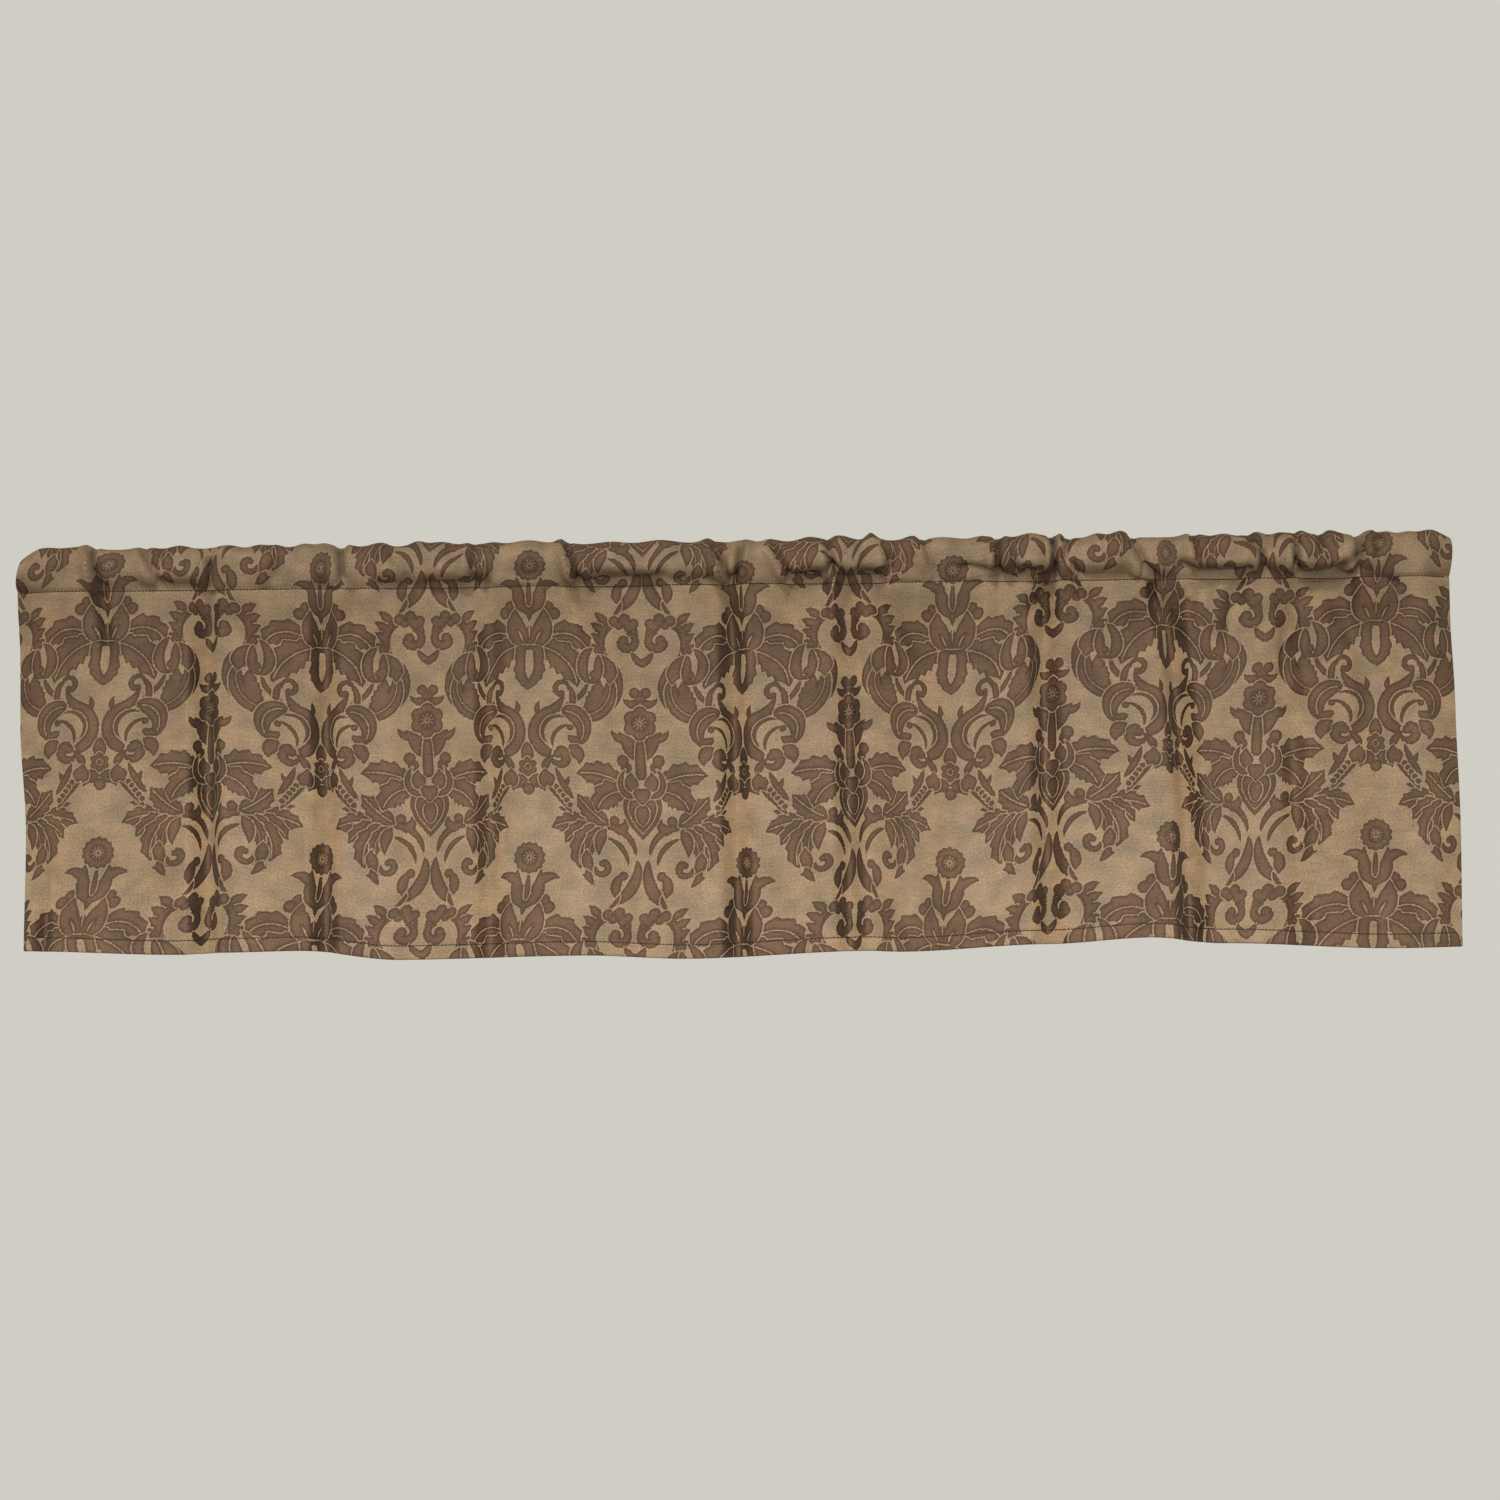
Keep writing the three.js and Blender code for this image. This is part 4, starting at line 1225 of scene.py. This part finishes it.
# Lamps stand LAMP_AWAY from the valance, each turned to a height on it. Wide is how far the beam is
# stretched across.
Lamp = namedtuple("Lamp", "name azimuth elevation aim_z radius power beam blend wide")
LAMPS = [
    Lamp("key", -14, 44, -0.19, 0.7, 1300, 22, 0.4, 1),
    Lamp("low", 4, 6, -0.55, 0.15, 1500, 8.3, 1.0, 4),
    Lamp("back", 165, 12, -0.19, 0.9, 900, 22, 0.4, 1),
]


def direction(azimuth, elevation):
    """Away from the valance, to the right of straight ahead and up, in degrees."""
    turn, rise = math.radians(azimuth), math.radians(elevation)
    return Vector((math.sin(turn) * math.cos(rise), -math.cos(turn) * math.cos(rise), math.sin(rise)))


def make_camera():
    data = bpy.data.cameras.new("camera")
    data.lens = CAMERA_LENS
    camera = placed("camera", data)
    back = direction(CAMERA_AZIMUTH, CAMERA_ELEVATION)
    camera.location = LOOK_AT + back * CAMERA_DISTANCE
    look = (-back).to_track_quat("-Z", "Y").to_matrix()
    camera.rotation_euler = (look @ Matrix.Rotation(CAMERA_ROLL, 3, "Z")).to_euler()
    bpy.context.scene.camera = camera


def make_lamp(row):
    data = bpy.data.lights.new(row.name, "SPOT")
    data.shadow_soft_size = row.radius
    data.spot_size = math.radians(row.beam)
    data.spot_blend = row.blend
    data.energy = row.power
    data.color = LAMP_COLOUR
    lamp = placed(row.name, data)
    toward = direction(row.azimuth, row.elevation)
    lamp.location = Vector((LOOK_AT.x, LOOK_AT.y, row.aim_z)) + toward * LAMP_AWAY
    lamp.rotation_euler = toward.to_track_quat("Z", "Y").to_euler()
    lamp.scale = (row.wide, 1.0, 1.0)


def make_stage():
    mesh = bpy.data.meshes.new("floor")
    corners = [(-1, -1), (1, -1), (1, 1), (-1, 1)]
    mesh.from_pydata([(FLOOR_HALF * x, FLOOR_HALF * y, FLOOR_Z) for x, y in corners], [], [(0, 1, 2, 3)])
    floor = placed("floor", mesh)
    material, tree, shader = new_material("floor")
    pale = linear(*FLOOR_COLOUR)
    # the lamps miss the floor, so it glows a little, and throws none of that on the cloth
    looks = {"Base Color": pale, "Roughness": 0.9, "Emission Color": pale, "Emission Strength": FLOOR_GLOW}
    dress(tree, shader, looks)
    floor.visible_diffuse = False
    floor.visible_glossy = False
    mesh.materials.append(material)

    world = bpy.data.worlds.new("studio")
    world.use_nodes = True
    tree = world.node_tree
    # pale at the level of the eye and dimmer above and below
    level = dot(tree, node(tree, "ShaderNodeTexCoord").outputs["Generated"], (0, 0, 1))
    strength = ranged(tree, sums(tree, "ABSOLUTE", level), SKY_PALE_TO, SKY_DIM_FROM, 1.0, SKY_DIM,
                      interpolation_type="SMOOTHSTEP")
    dress(tree, tree.nodes["Background"], {"Color": linear(*SKY_COLOUR), "Strength": strength})
    bpy.context.scene.world = world
    for row in LAMPS:
        make_lamp(row)


make_camera()
make_stage()
make_valance()
bpy.context.scene.view_settings.view_transform = "Standard"
bpy.context.view_layer.update()
